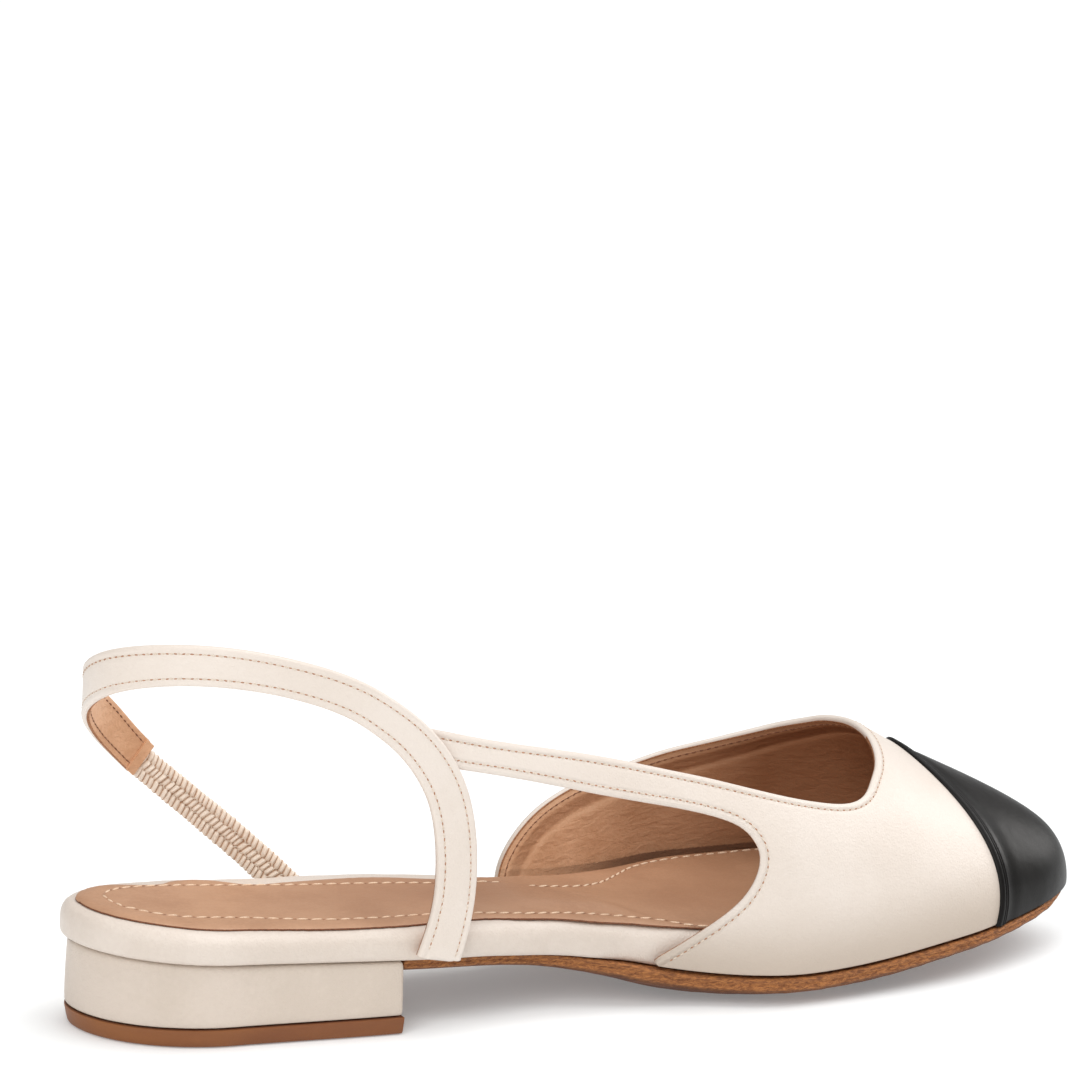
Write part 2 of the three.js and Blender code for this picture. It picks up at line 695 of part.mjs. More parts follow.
// Length along such a line for each millimetre straight away from the seam
function seamSpread(turn) {
  const place = (x, t) => new THREE.Vector3(...lastPoint(x, t, 0));
  const nearer = Math.max(turn - 0.01, -1);
  const further = Math.min(turn + 0.01, 1);
  const along = place(seamStation(further), further).sub(place(seamStation(nearer), nearer));
  const ahead = place(seamStation(turn) + 0.5, turn).sub(place(seamStation(turn), turn));
  return along.length() * 0.5 / along.cross(ahead).length();
}
function capStation(row, turn) {
  const band = seamStation(turn) + (GAP + row.fromSeam) * seamSpread(turn);
  return band + (SOLE_LENGTH - band) * row.toTip;
}
const capOuter = lastSolid(0, 0, capRows, capStation, (row) => capProfile(row.fromSeam));
const capHollow = lastSolid(CAP_PROUD - CAP_THICKNESS, 8, lastStations);
const toeCap = capOuter.subtract(capHollow).simplify(TIDY);

// Elastic between the strap's tab and the footbed
const RIPPLES = 14;
const elastic = band(ELASTIC, ELASTIC_THICKNESS, RIPPLES * 4, (t) => (
  -ELASTIC_RIPPLE * (1 - Math.cos(2 * Math.PI * RIPPLES * t))
));

function meshOf(body, name, color, roughness) {
  const data = body.translate([-ORIGIN_AHEAD, 0, 0]).getMesh();
  const geometry = new THREE.BufferGeometry();
  geometry.setAttribute('position', new THREE.Float32BufferAttribute(data.vertProperties, 3));
  geometry.setIndex(Array.from(data.triVerts));
  geometry.computeVertexNormals();
  const material = new THREE.MeshStandardMaterial({ color, roughness, metalness: 0 });
  const mesh = new THREE.Mesh(geometry, material);
  mesh.name = name;
  return mesh;
}

const shoe = new THREE.Group();
shoe.name = 'sling_back_flat';
shoe.add(
  meshOf(topPiece, 'top_piece', 0x8a5630, 0.7),
  meshOf(heelBlock, 'heel_block', 0xefe6da, 0.5),
  meshOf(outsole, 'outsole', 0x8f5a33, 0.7),
  meshOf(footbed, 'footbed', 0xefe6da, 0.5),
  meshOf(sock, 'sock', 0xc49a78, 0.6),
  meshOf(upper, 'upper', 0xefe6da, 0.5),
  meshOf(toeCap, 'toe_cap', 0x262524, 0.35),
  meshOf(elastic, 'elastic', 0xe6dccf, 0.8),
);

export default shoe;
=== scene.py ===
# %% [markdown]
# # A sling back flat, dressed for its portrait
#
# The shoe is cream leather with a black toe cap, a tan lining and a tan sole.
# Its solids are already made and fixed, so this lesson starts from them and never moves them.
# Each piece is made again finer, in its own solid's place, and then given its finish.

# %% The fixed frame
import math

import bpy
import numpy as np
from mathutils import Matrix, Vector
from mathutils.bvhtree import BVHTree
from mathutils.kdtree import KDTree


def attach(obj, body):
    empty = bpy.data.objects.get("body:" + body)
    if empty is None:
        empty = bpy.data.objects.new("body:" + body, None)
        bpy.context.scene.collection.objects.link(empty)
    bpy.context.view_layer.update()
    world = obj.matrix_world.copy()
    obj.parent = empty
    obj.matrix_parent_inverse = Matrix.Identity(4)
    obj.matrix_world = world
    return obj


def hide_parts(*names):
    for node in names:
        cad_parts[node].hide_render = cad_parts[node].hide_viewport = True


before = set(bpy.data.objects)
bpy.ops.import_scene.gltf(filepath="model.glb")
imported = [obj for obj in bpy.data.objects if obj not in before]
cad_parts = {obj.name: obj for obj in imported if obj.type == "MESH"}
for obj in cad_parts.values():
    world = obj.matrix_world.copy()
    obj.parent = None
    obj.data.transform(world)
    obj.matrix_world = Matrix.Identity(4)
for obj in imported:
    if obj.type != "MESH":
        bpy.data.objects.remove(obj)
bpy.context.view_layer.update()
print("solids:", sorted(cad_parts))

# %% [markdown]
# ## The shoe's own sizes
#
# A shoemaker keeps sizes in millimetres, counted from the back of the heel, and so do these tables.
# A table has one row for each station along the shoe, and a smooth reading joins its rows.
# Blender works in metres from the middle of the heel, and one function makes that change.

# %% Sizes in millimetres
MM = 0.001
ORIGIN_AHEAD = 34.0
SOLE_LENGTH = 250.0
HEEL_ROUND = 32.7
HEEL_BLOCK_LENGTH = 69.8
TOP_PIECE_THICKNESS = 4.2
RIM_OVERHANG = 0.9
TOE_TUCK = 2.8
TOE_TIP_Y = 0.9
TOE_CENTRE = 195.0
WALL = 1.8
GAP = 0.3
SOCK_TOP = 1.0
SEAM_FRONT = 221.1
SEAM_FRONT_Z = 20.0
SEAM_BOW = 0.0165
OUTER, INNER = -1, 1

PLAN = {
    "x": (32.7, 75, 94, 110, 140, 165, 190, 215, 225, 235),
    "outer": (27.6, 30.3, 26.7, 24.0, 28.8, 36.4, 34.0, 28.7, 24.2, 18.9),
    "inner": (21.0, 20.2, 18.6, 18.9, 28.2, 37.7, 38.8, 32.5, 27.8, 21.9),
}
PROFILE = {
    "x": (0, 13, 30, 55, 76, 89, 101, 113, 124, 135, 145, 152, 166, 180, 190, 203, 217, 234, 250),
    "bed": (28.4, 27.4, 26.0, 24.8, 24.1, 23.2, 22.0, 20.7, 19.0, 17.6,
            16.8, 16.4, 15.9, 15.7, 15.6, 15.9, 16.7, 18.2, 20.0),
    "seat": (20.4, 19.8, 19.0, 17.9, 16.9, 15.7, 14.2, 12.7, 10.9, 8.7,
             7.3, 6.9, 6.8, 7.3, 8.1, 9.5, 10.8, 12.5, 14.4),
    "edge": (17.2, 16.6, 15.9, 15.0, 14.2, 13.0, 11.5, 9.6, 7.6, 5.2,
             3.9, 3.5, 3.5, 4.2, 5.0, 6.6, 8.1, 10.0, 12.2),
    "keel": (16.6, 16.0, 15.3, 14.3, 13.3, 12.0, 10.3, 7.9, 5.2, 2.0,
             0.35, 0, 0, 0, 0.8, 2.7, 5.0, 8.3, 11.6),
}
LAST = {
    "x": (60, 75, 96, 110, 124, 146, 168, 190, 200, 210, 218, 227, 237, 244, 248.4, 250),
    "ridge": (118, 112, 101, 94, 87, 76.5, 66.5, 57.3, 52.2, 46.4, 42.4, 38.1, 32.8, 28.2, 23.8, 19.8),
    "ridge_y": (2, 2, 2, 2, 2.6, 5.4, 7, 9, 10, 9.4, 8, 6, 4, 2.6, 1.4, 0.9),
    "swell_outer": (3.5, 4.4, 7.6, 9.8, 9.0, 5.0, 2.4, 1.6, 1.4, 1.2, 1.1, 1.0, 0.8, 0.5, 0.2, 0),
    "swell_inner": (2, 2.5, 3, 3.4, 3.4, 2.2, 1.5, 1.2, 1.2, 1.1, 1.0, 0.9, 0.8, 0.5, 0.2, 0),
}
print("stations:", len(PROFILE["x"]), "for the side view and", len(LAST["x"]), "for the last")


# %% Reading a table
def reading(table, key, soften=0.0):
    """A smooth line through the rows of a table, that never overshoots between two of them."""
    at, value = np.array(table["x"], float), np.array(table[key], float)
    rise = np.diff(value) / np.diff(at)
    slope = np.r_[rise[0], np.zeros(len(at) - 2), rise[-1]]
    same = rise[:-1] * rise[1:] > 0
    product, total = rise[:-1] * rise[1:], np.where(same, rise[:-1] + rise[1:], 1)
    slope[1:-1] = np.where(same, 2 * product / total, 0)
    fine = np.arange(at[0], at[-1] + 0.05, 0.1)
    row = np.clip(np.searchsorted(at, fine, side="right") - 1, 0, len(at) - 2)
    span = at[row + 1] - at[row]
    t = (fine - at[row]) / span
    line = (
        value[row] * (2 * t**3 - 3 * t**2 + 1)
        + slope[row] * span * (t**3 - 2 * t**2 + t)
        + value[row + 1] * (3 * t**2 - 2 * t**3)
        + slope[row + 1] * span * (t**3 - t**2)
    )
    if soften:
        line = softened(line, soften * 10)
    return lambda x: np.interp(x, fine, line)


def softened(line, reach):
    """The line with its bends eased over about reach samples, and its two ends kept."""
    width = int(3 * reach)
    weight = np.exp(-0.5 * (np.arange(-width, width + 1) / reach) ** 2)
    before = 2 * line[0] - line[width:0:-1]
    after = 2 * line[-1] - line[-2 : -width - 2 : -1]
    return np.convolve(np.r_[before, line, after], weight / weight.sum(), mode="valid")


def ease(low, high, x):
    """0 below low, 1 above high and a soft step between them."""
    t = np.clip((np.asarray(x, float) - low) / (high - low), 0, 1)
    return t * t * (3 - 2 * t)


plan_outer, plan_inner = reading(PLAN, "outer", 3), reading(PLAN, "inner", 3)
bed, seat = reading(PROFILE, "bed", 2), reading(PROFILE, "seat", 2)
edge, keel = reading(PROFILE, "edge", 2), reading(PROFILE, "keel", 1)
ridge, ridge_y = reading(LAST, "ridge", 2), reading(LAST, "ridge_y", 3)
swell_outer, swell_inner = reading(LAST, "swell_outer", 4), reading(LAST, "swell_inner", 3)
print("footbed height at the ball: %.1f mm" % bed(166))

# %% [markdown]
# ## The plan and the last
#
# A sole is drawn by its half widths: one line for the outer side and one for the inner side.
# The heel end and the toe end are parts of ellipses, so both lines run into one round tip.
# The last is the wooden foot that the upper is pulled over. Each station of it is a bow,
# from the outer feather line over the ridge to the inner one, and turn goes from -1 to 1 along it.


# %% Plan and last
def half_width(x, side):
    """Half the width of the sole at a station, on one side."""
    x = np.asarray(x, float)
    heel = np.clip((HEEL_ROUND - x) / HEEL_ROUND, 0, 1)
    toe = np.clip((x - TOE_CENTRE) / (SOLE_LENGTH - TOE_CENTRE), 0, 1)
    last_row = (PLAN["x"][-1] - TOE_CENTRE) / (SOLE_LENGTH - TOE_CENTRE)
    middle = np.where(side == OUTER, plan_outer(x), plan_inner(x))
    seat_width = np.where(side == OUTER, plan_outer(HEEL_ROUND), plan_inner(HEEL_ROUND))
    close = np.sqrt(1 - toe**2) / math.sqrt(1 - last_row**2)
    tip = side * TOE_TIP_Y
    rounded = np.where(x > PLAN["x"][-1], tip + (middle - tip) * close, middle)
    return np.where(x < HEEL_ROUND, seat_width * np.sqrt(1 - heel**2), rounded)


def last_point(x, turn):
    """Places on the last, for arrays of stations and turns."""
    x, turn = np.broadcast_arrays(np.asarray(x, float), np.asarray(turn, float))
    side = np.where(turn < 0, OUTER, INNER)
    power = np.where(turn < 0, 2 / 1.9, 2 / 2.2)
    angle = math.pi / 2 * (1 - np.abs(turn))
    across = np.maximum(half_width(x, side) - side * ridge_y(x), 0)
    foot = seat(x) + GAP
    up = np.maximum(ridge(x) - foot, 1)
    out = np.clip(np.cos(angle), 0, 1) ** power
    high = np.clip(np.sin(angle), 0, 1) ** power
    swell = np.where(turn < 0, swell_outer(x), swell_inner(x)) * np.sin(math.pi * high)
    return np.stack([x, ridge_y(x) + side * (across * out + swell), foot + up * high], -1)


def soothed(places):
    """Eases the bends of a grid across the foot, and leaves its stations where they are."""
    for _ in range(6):
        neighbours = places[:, 2:, 1:] + places[:, :-2, 1:]
        places[:, 1:-1, 1:] = 0.5 * places[:, 1:-1, 1:] + 0.25 * neighbours
    return places


def outward(places):
    """The direction away from the foot at each place of a grid on the last."""
    normal = np.cross(np.gradient(places, axis=0), np.gradient(places, axis=1))
    size = np.linalg.norm(normal, axis=-1, keepdims=True)
    normal = np.where(size > 1e-6, normal / np.maximum(size, 1e-9), (1.0, 0.0, 0.0))
    middle = normal[len(normal) // 3, normal.shape[1] // 2]
    return normal if middle[2] > 0 else -normal


print("widest at the ball: %.1f mm" % (half_width(168, OUTER) + half_width(168, INNER)))

# %% [markdown]
# ## Helpers for making a piece
#
# A flat grid is the easiest thing to bend into a shoe part: it is added as a primitive,
# each of its corners is sent to its place, and edges that meet are welded.
# Everything is deselected first, because an operator acts on all that is selected.
# Corners closer together than the weld distance, in metres, become one.


# %% Making and closing a piece
WELD = 4e-6


def only(piece):
    """Makes piece the one selected and active object."""
    bpy.ops.object.select_all(action="DESELECT")
    piece.select_set(True)
    bpy.context.view_layer.objects.active = piece


def corners(piece):
    """The corners of a mesh as an array."""
    flat = np.empty(len(piece.data.vertices) * 3)
    piece.data.vertices.foreach_get("co", flat)
    return flat.reshape(-1, 3)


def settle(piece, places):
    """Sends each corner to its place, given in millimetres from the back of the heel."""
    moved = (np.asarray(places) - (ORIGIN_AHEAD, 0, 0)) * MM
    piece.data.vertices.foreach_set("co", moved.astype(np.float32).ravel())
    piece.data.update()


def measure(piece, name, values):
    """Keeps one number for each corner, which a finish can read."""
    kept = piece.data.attributes.new(name, "FLOAT", "POINT")
    kept.data.foreach_set("value", np.asarray(values, np.float32))


def mended(piece, operator, **settings):
    """Runs one mesh operator on the whole piece and turns every face outwards."""
    only(piece)
    bpy.ops.object.mode_set(mode="EDIT")
    bpy.ops.mesh.select_all(action="SELECT")
    operator(**settings)
    bpy.ops.mesh.normals_make_consistent(inside=False)
    bpy.ops.mesh.select_all(action="DESELECT")
    bpy.ops.object.mode_set(mode="OBJECT")


def fill_ends(piece):
    """Closes the open ends of a tube."""
    mended(piece, bpy.ops.mesh.fill_holes, sides=0)

# %% [markdown]
# Most pieces are a grid bent to its places. Two kinds can't be: a wall with curved cuts,
# and hundreds of stitches. They are written from arrays of places and faces instead.
# In both kinds each face knows its finish by a number, and the numbers have names.

# %% Bending a grid, or writing arrays
CREAM, TAN, CUT = range(3)


def lofted(name, places, finishes, finish_of=None, round_section=True, measures=()):
    """A grid primitive laid on rows of places. With a round section its two long edges are welded."""
    rows, columns = places.shape[:2]
    across = columns if round_section else columns - 1
    bpy.ops.object.select_all(action="DESELECT")
    bpy.ops.mesh.primitive_grid_add(x_subdivisions=across, y_subdivisions=rows - 1, size=1)
    piece = bpy.context.active_object
    piece.name = piece.data.name = name
    flat = corners(piece) + 0.5
    column = np.rint(flat[:, 0] * across).astype(int) % columns
    row = np.rint(flat[:, 1] * (rows - 1)).astype(int)
    settle(piece, places[row, column])
    for key, values in measures:
        measure(piece, key, np.broadcast_to(values, (rows, columns))[row, column])
    for finish in finishes:
        piece.data.materials.append(finish)
    if finish_of is not None:
        for face in piece.data.polygons:
            middle = flat[list(face.vertices)].mean(0)
            face.material_index = int(finish_of(middle[0] * across, middle[1] * (rows - 1)))
    mended(piece, bpy.ops.mesh.remove_doubles, threshold=WELD)
    return piece


def from_arrays(name, places, faces, finishes, finish_of_face):
    """A piece written straight from arrays of places in millimetres, faces and finish numbers."""
    mesh = bpy.data.meshes.new(name)
    mesh.from_pydata([tuple(p) for p in places], [], faces)
    piece = bpy.data.objects.new(name, mesh)
    bpy.context.scene.collection.objects.link(piece)
    settle(piece, places)
    for finish in finishes:
        mesh.materials.append(finish)
    mesh.polygons.foreach_set("material_index", np.array(finish_of_face, np.int32))
    only(piece)
    bpy.ops.object.shade_smooth()
    return piece


def shaded(piece, degrees=40):
    """Smooth shading, with a sharp line only where faces meet at more than that angle."""
    only(piece)
    bpy.ops.object.shade_smooth_by_angle(angle=math.radians(degrees))
    print(piece.name, "has", sum(len(f.vertices) - 2 for f in piece.data.polygons), "triangles")
    return piece


# %% [markdown]
# ## Finishes as sums
#
# A finish is a small network of nodes. Written as sums in Python it stays readable:
# a wire is a socket that can be added, taken away, multiplied, divided or made a power,
# and each sum is one Math node.
# Every other node comes from one method, which sets the node's options first and its sockets after.


# %% Wires and finishes
class Wire:
    """One output of a node, that takes part in sums."""

    def __init__(self, finish, socket):
        self.finish, self.socket = finish, socket

    def sum(self, operation, first, second):
        return self.finish.node("ShaderNodeMath", {"operation": operation}, {0: first, 1: second})

    __add__ = lambda self, other: self.sum("ADD", self, other)
    __radd__ = lambda self, other: self.sum("ADD", other, self)
    __sub__ = lambda self, other: self.sum("SUBTRACT", self, other)
    __rsub__ = lambda self, other: self.sum("SUBTRACT", other, self)
    __mul__ = lambda self, other: self.sum("MULTIPLY", self, other)
    __rmul__ = lambda self, other: self.sum("MULTIPLY", other, self)
    __truediv__ = lambda self, other: self.sum("DIVIDE", self, other)
    __rtruediv__ = lambda self, other: self.sum("DIVIDE", other, self)
    __rpow__ = lambda self, other: self.sum("POWER", other, self)


class Finish:
    """A material in the making: one shader and the nodes that feed it."""

    def __init__(self, name):
        self.material = bpy.data.materials.new(name)
        self.material.use_nodes = True
        self.tree = self.material.node_tree
        self.shader = self.tree.nodes["Principled BSDF"]

    def node(self, kind, options=None, sockets=None, output=0):
        made = self.tree.nodes.new(kind)
        for key, value in (options or {}).items():
            if key == "stops":
                while len(made.color_ramp.elements) < len(value):
                    made.color_ramp.elements.new(0.5)
                for stop, (place, colour) in zip(made.color_ramp.elements, value):
                    stop.position, stop.color = place, colour
            else:
                setattr(made, key, value)
        for key, value in (sockets or {}).items():
            if isinstance(value, Wire):
                self.tree.links.new(value.socket, made.inputs[key])
            else:
                made.inputs[key].default_value = value
        return Wire(self, made.outputs[output])

    def here(self, stretch=(1, 1, 1), turn=(0, 0, 0)):
        """Where a point is on the object, in millimetres times stretch."""
        place = self.node("ShaderNodeTexCoord", output="Object")
        scale = tuple(1000 * s for s in stretch)
        return self.node("ShaderNodeMapping", {}, {"Vector": place, "Rotation": turn, "Scale": scale})

    def noise(self, size, place=None, detail=3.0, rough=0.55, bend=0.0):
        """Soft noise whose blots are about size millimetres wide, from 0 to 1."""
        sockets = {"Vector": place or self.here(), "Scale": 1 / size, "Detail": detail,
                   "Roughness": rough, "Distortion": bend}
        return self.node("ShaderNodeTexNoise", {}, sockets)

    def cells(self, size, feature="F1"):
        """Distance to the nearest of many scattered points, size millimetres apart."""
        sockets = {"Vector": self.here(), "Scale": 1 / size}
        return self.node("ShaderNodeTexVoronoi", {"feature": feature}, sockets)

    def kept(self, name):
        """A number that the piece keeps for each corner."""
        return self.node("ShaderNodeAttribute", {"attribute_name": name}, output="Fac")

    def step(self, value, low, high, start=0.0, end=1.0):
        """A soft step from start to end while value goes from low to high."""
        sockets = {"Value": value, "From Min": low, "From Max": high, "To Min": start, "To Max": end}
        return self.node("ShaderNodeMapRange", {"interpolation_type": "SMOOTHSTEP"}, sockets)

    def bell(self, value, middle, width):
        """1 where value is middle, and falling away to 0 over width."""
        away = (value - middle) / width
        return 0.135 ** (away * away)

    def colours(self, first, second, share):
        sockets = {0: share, 6: first, 7: second}
        return self.node("ShaderNodeMix", {"data_type": "RGBA"}, sockets, output=2)

    def bump(self, height, distance, before=None):
        """Relief of height times distance, in millimetres, on top of what came before."""
        sockets = {"Height": height, "Distance": distance * MM, "Strength": 1.0}
        if before is not None:
            sockets["Normal"] = before
        return self.node("ShaderNodeBump", {}, sockets)

    def done(self, **sockets):
        """Feeds the shader and gives back the finished material."""
        for key, value in sockets.items():
            socket = self.shader.inputs[key.replace("_", " ")]
            if isinstance(value, Wire):
                self.tree.links.new(value.socket, socket)
            else:
                socket.default_value = value
        return self.material


def colour(red, green, blue):
    """A colour read off a screen, as the light it stands for."""
    parts = [c / 255 for c in (red, green, blue)]
    return tuple(p / 12.92 if p <= 0.04045 else ((p + 0.055) / 1.055) ** 2.4 for p in parts) + (1.0,)


# %% [markdown]
# ## Cream leather
#
# The upper, the straps and the heel are covered with one smooth cream calf leather.
# It has pores of about half a millimetre, broad soft clouds of colour, and a low satin shine.
# Near a folded edge the leather is puffed up, and a row of stitches pulls it down again:
# the piece keeps its distance from the edge, and the finish turns that distance into relief.
# Low down the leather gets less light, and that shade is painted into the upper's colour,
# which darkens softly towards the sole. The covers of the rim and the heel are shaded copies of it, each
# painted a little darker than the upper.


# %% Leather finishes
def leather(name, light, dark, gloss, pore=0.55, relief=0.03, edge_relief=True, shine=0.5, coat=0.08):
    """Grained leather. A piece that keeps edge_mm gets a puffed edge and a sewn trough."""
    finish = Finish(name)
    clouds = finish.noise(26, detail=2)
    specks = finish.noise(1.4, detail=4)
    base = finish.colours(light, dark, finish.step(clouds * 0.75 + specks * 0.25, 0.36, 0.66))
    pores = finish.cells(pore)
    grain = finish.noise(pore * 0.8, detail=5, rough=0.6)
    relief_map = finish.bump(pores * 0.6 + grain * 0.6, relief)
    soft = finish.noise(9, detail=2)
    relief_map = finish.bump(soft, 0.22, relief_map)
    if edge_relief:
        # Painted shade: the colour darkens towards the sole, where less light reaches the upper.
        low = finish.step(finish.kept("above_sole"), 1.0, 19.0, 1.0, 0.0)
        base = finish.colours(base, colour(190, 175, 160), low * 0.95)
        away = finish.kept("edge_mm")
        puffed = finish.bell(away, 0.75, 0.8)
        sewn = finish.bell(away, 1.85, 0.5)
        relief_map = finish.bump(puffed * 0.35 - sewn * 0.28, 0.55, relief_map)
    rough = finish.step(clouds * 0.5 + grain * 0.5, 0.3, 0.7, gloss - 0.05, gloss + 0.07)
    return finish.done(Base_Color=base, Roughness=rough, Normal=relief_map, Specular_IOR_Level=shine,
                       Coat_Weight=coat, Coat_Roughness=0.35)


cream = leather("cream_calf", colour(226, 215, 205), colour(221, 209, 198), 0.46, relief=0.11)
# Shaded copies of the same cream leather: the rim and heel covers are painted darker than the upper, as
# shade on their sides.
cream_rim_shaded = leather("cream_calf_rim_shaded", colour(218, 206, 195), colour(210, 197, 185), 0.44,
                    edge_relief=False, relief=0.12)
cream_heel_shaded = leather("cream_calf_heel_shaded", colour(210, 196, 183), colour(202, 188, 174), 0.44,
                     edge_relief=False, relief=0.12)
black = leather("black_calf", colour(23, 21, 20), colour(16, 15, 14), 0.36, pore=0.4,
                relief=0.018, edge_relief=False, shine=0.16, coat=0.0)
print("leathers:", cream.name, cream_rim_shaded.name, cream_heel_shaded.name, black.name)

# %% [markdown]
# ## Lining, sock and cut edges
#
# The lining is unpainted tan leather with a livelier grain than the cream, and it creases where it bends.
# Painted shade darkens it towards the toe, deep inside the upper, and in a ragged line where it meets the
# sock.
# The sock lies flat, and painted shade darkens it along the waist and under the ball, where the upper
# hangs over it.
# A cut edge of leather is dark, dull and fibrous, so it gets a finish of its own.


# %% Tan finishes
def tan_leather(name, light, dark, wrinkle):
    finish = Finish(name)
    clouds = finish.noise(18, detail=3)
    specks = finish.noise(0.9, detail=4)
    base = finish.colours(light, dark, finish.step(clouds * 0.7 + specks * 0.3, 0.34, 0.66))
    pores = finish.cells(0.6, feature="SMOOTH_F1")
    grain = finish.noise(0.5, detail=5, rough=0.65)
    relief_map = finish.bump(pores * 0.5 + grain * 0.7, 0.05)
    creases = finish.noise(2.4, finish.here((0.5, 1, 1.5), (0.2, 0.7, 0.2)), detail=5, bend=0.5)
    relief_map = finish.bump(creases, wrinkle, relief_map)
    rough = finish.step(clouds * 0.5 + grain * 0.5, 0.3, 0.7, 0.5, 0.62)
    return finish, base, relief_map, rough


def lining_leather():
    """Lining with a turned edge: a soft roll, then a sewn line, then a shallow trough."""
    finish, base, relief_map, rough = tan_leather(
        "tan_lining_leather", colour(226, 179, 142), colour(206, 157, 119), 0.36)
    away = finish.kept("edge_mm")
    sewn = finish.bell(away, 1.9, 0.45)
    # Painted light: the lining is lighter near its rolled top edge, where light reaches into the shoe,
    # fading out seven millimetres in.
    base = finish.colours(base, colour(236, 190, 152), finish.step(away, 2.0, 7.0, 0.4, 0.0))
    roll = finish.bell(away, 3.2, 1.6) * 0.7 - finish.bell(away, 6.4, 1.6) * 0.55
    relief_map = finish.bump(roll - sewn * 0.4, 0.9, relief_map)
    # Painted shade: the lining darkens towards the toe, deep inside the upper where little light reaches.
    forward = finish.node("ShaderNodeSeparateXYZ", {}, {"Vector": finish.here()})
    base = finish.colours(base, colour(138, 84, 48), finish.step(forward, 95, 165, 0.0, 0.78))
    # Painted shade: a ragged dark line in the corner where the lining meets the sock, stronger towards
    # the toe.
    ragged = finish.noise(0.8, detail=4) * 0.7
    crevice_shade = finish.step(finish.kept("above_sock") - ragged, -0.6, -0.15, 1.0, 0.0)
    base = finish.colours(base, colour(84, 52, 34), crevice_shade * finish.step(forward, 85, 125, 0.15, 0.75))
    cut_strip = finish.step(away + ragged, 1.6, 1.9, 1.0, 0.0)
    base = finish.colours(base, colour(212, 170, 134), cut_strip * 0.8)
    # Painted shade in the stitch groove: the lining is a little darker along its sewn line.
    base = finish.colours(base, colour(132, 88, 58), sewn * 0.3)
    return finish.done(Base_Color=base, Roughness=rough, Normal=relief_map, Coat_Weight=0.05)


def sock_leather():
    """Sock leather with painted shade where the upper hangs over it, pressed in along its stitches, with
    painted shade in that groove.
    """
    finish, base, relief_map, rough = tan_leather(
        "tan_sock_leather", colour(186, 143, 111), colour(170, 127, 96), 0.12)
    # Painted shade: the sock is darker along the waist and under the ball, where the upper hangs over it.
    worn = finish.kept("worn")
    base = finish.colours(base, colour(142, 96, 64), worn)
    sewn = finish.bell(finish.kept("sewn_mm"), 0.0, 0.7)
    relief_map = finish.bump(sewn * -0.5, 0.35, relief_map)
    # Painted shade in the stitch groove: the sock is a little darker along its sewn lines.
    base = finish.colours(base, colour(158, 116, 88), sewn * 0.3)
    return finish.done(Base_Color=base, Roughness=rough, Normal=relief_map, Coat_Weight=0.06)


def cut_edge(name, light, dark, grain_size):
    """The fibres of a cut edge."""
    finish = Finish(name)
    fibres = finish.noise(grain_size, finish.here((1, 1, 1.8)), detail=6, rough=0.75)
    base = finish.colours(dark, light, finish.step(fibres, 0.35, 0.65))
    return finish.done(Base_Color=base, Roughness=0.78, Normal=finish.bump(fibres, 0.16))


lining = lining_leather()
sock_tan = sock_leather()
lining_edge = cut_edge("tan_cut_edge", colour(186, 132, 92), colour(124, 76, 46), 0.5)
sock_edge = cut_edge("sock_cut_edge", colour(140, 88, 57), colour(88, 51, 31), 0.45)
print("tans:", lining.name, sock_tan.name, lining_edge.name, sock_edge.name)

# %% [markdown]
# ## Sole, thread and elastic
#
# The outsole's edge is ground leather board, bright and torn above. Below, where it curves under towards
# the floor, it is streaked and darker with painted shade.
# The piece keeps its height from 0 at the tread to 1 at the upper, and the finish reads it.
# The top piece under the heel is moulded, so it is smoother and has a faint shine.


# %% Sole finishes
def sole_board():
    finish = Finish("tan_sole_board")
    height = finish.kept("height")
    torn = finish.noise(0.7, finish.here((0.45, 0.45, 1.6)), detail=7, rough=0.8, bend=0.6)
    streaks = finish.noise(5, finish.here((0.25, 0.25, 2.2)), detail=4)
    upper = finish.colours(colour(112, 64, 31), colour(186, 121, 66), finish.step(torn, 0.38, 0.62))
    # Painted shade: the lower band curves under and faces the floor, so its colours are darker.
    lower = finish.colours(colour(84, 46, 26), colour(116, 71, 43), finish.step(streaks, 0.35, 0.65))
    base = finish.colours(lower, upper, finish.step(height + torn * 0.14, 0.5, 0.62))
    line = finish.bell(height, 0.5, 0.07)
    base = finish.colours(base, colour(70, 38, 20), line * 0.55)
    rag = finish.step(height, 0.48, 0.66, 0.25, 1.0)
    relief_map = finish.bump(torn * rag + streaks * 0.3 - line * 0.4, 0.35)
    return finish.done(Base_Color=base, Roughness=0.72, Normal=relief_map)


def moulded_heel_tip():
    finish = Finish("tan_top_piece")
    clouds = finish.noise(14, finish.here((0.4, 0.4, 1.2)), detail=3)
    specks = finish.noise(0.5, detail=5)
    base = finish.colours(colour(138, 82, 34), colour(120, 66, 24), finish.step(clouds, 0.3, 0.7))
    height = finish.kept("height")
    base = finish.colours(base, colour(96, 54, 30), finish.step(height, 0.86, 0.99, 0, 0.8))
    relief_map = finish.bump(specks + clouds * 0.6, 0.06)
    return finish.done(Base_Color=base, Roughness=0.5, Normal=relief_map, Coat_Weight=0.05,
                       Coat_Roughness=0.4)


def thread(name, light, dark):
    """Twisted sewing thread."""
    finish = Finish(name)
    twist = finish.noise(0.22, detail=3)
    base = finish.colours(dark, light, finish.step(twist, 0.35, 0.65))
    return finish.done(Base_Color=base, Roughness=0.65, Normal=finish.bump(twist, 0.05))


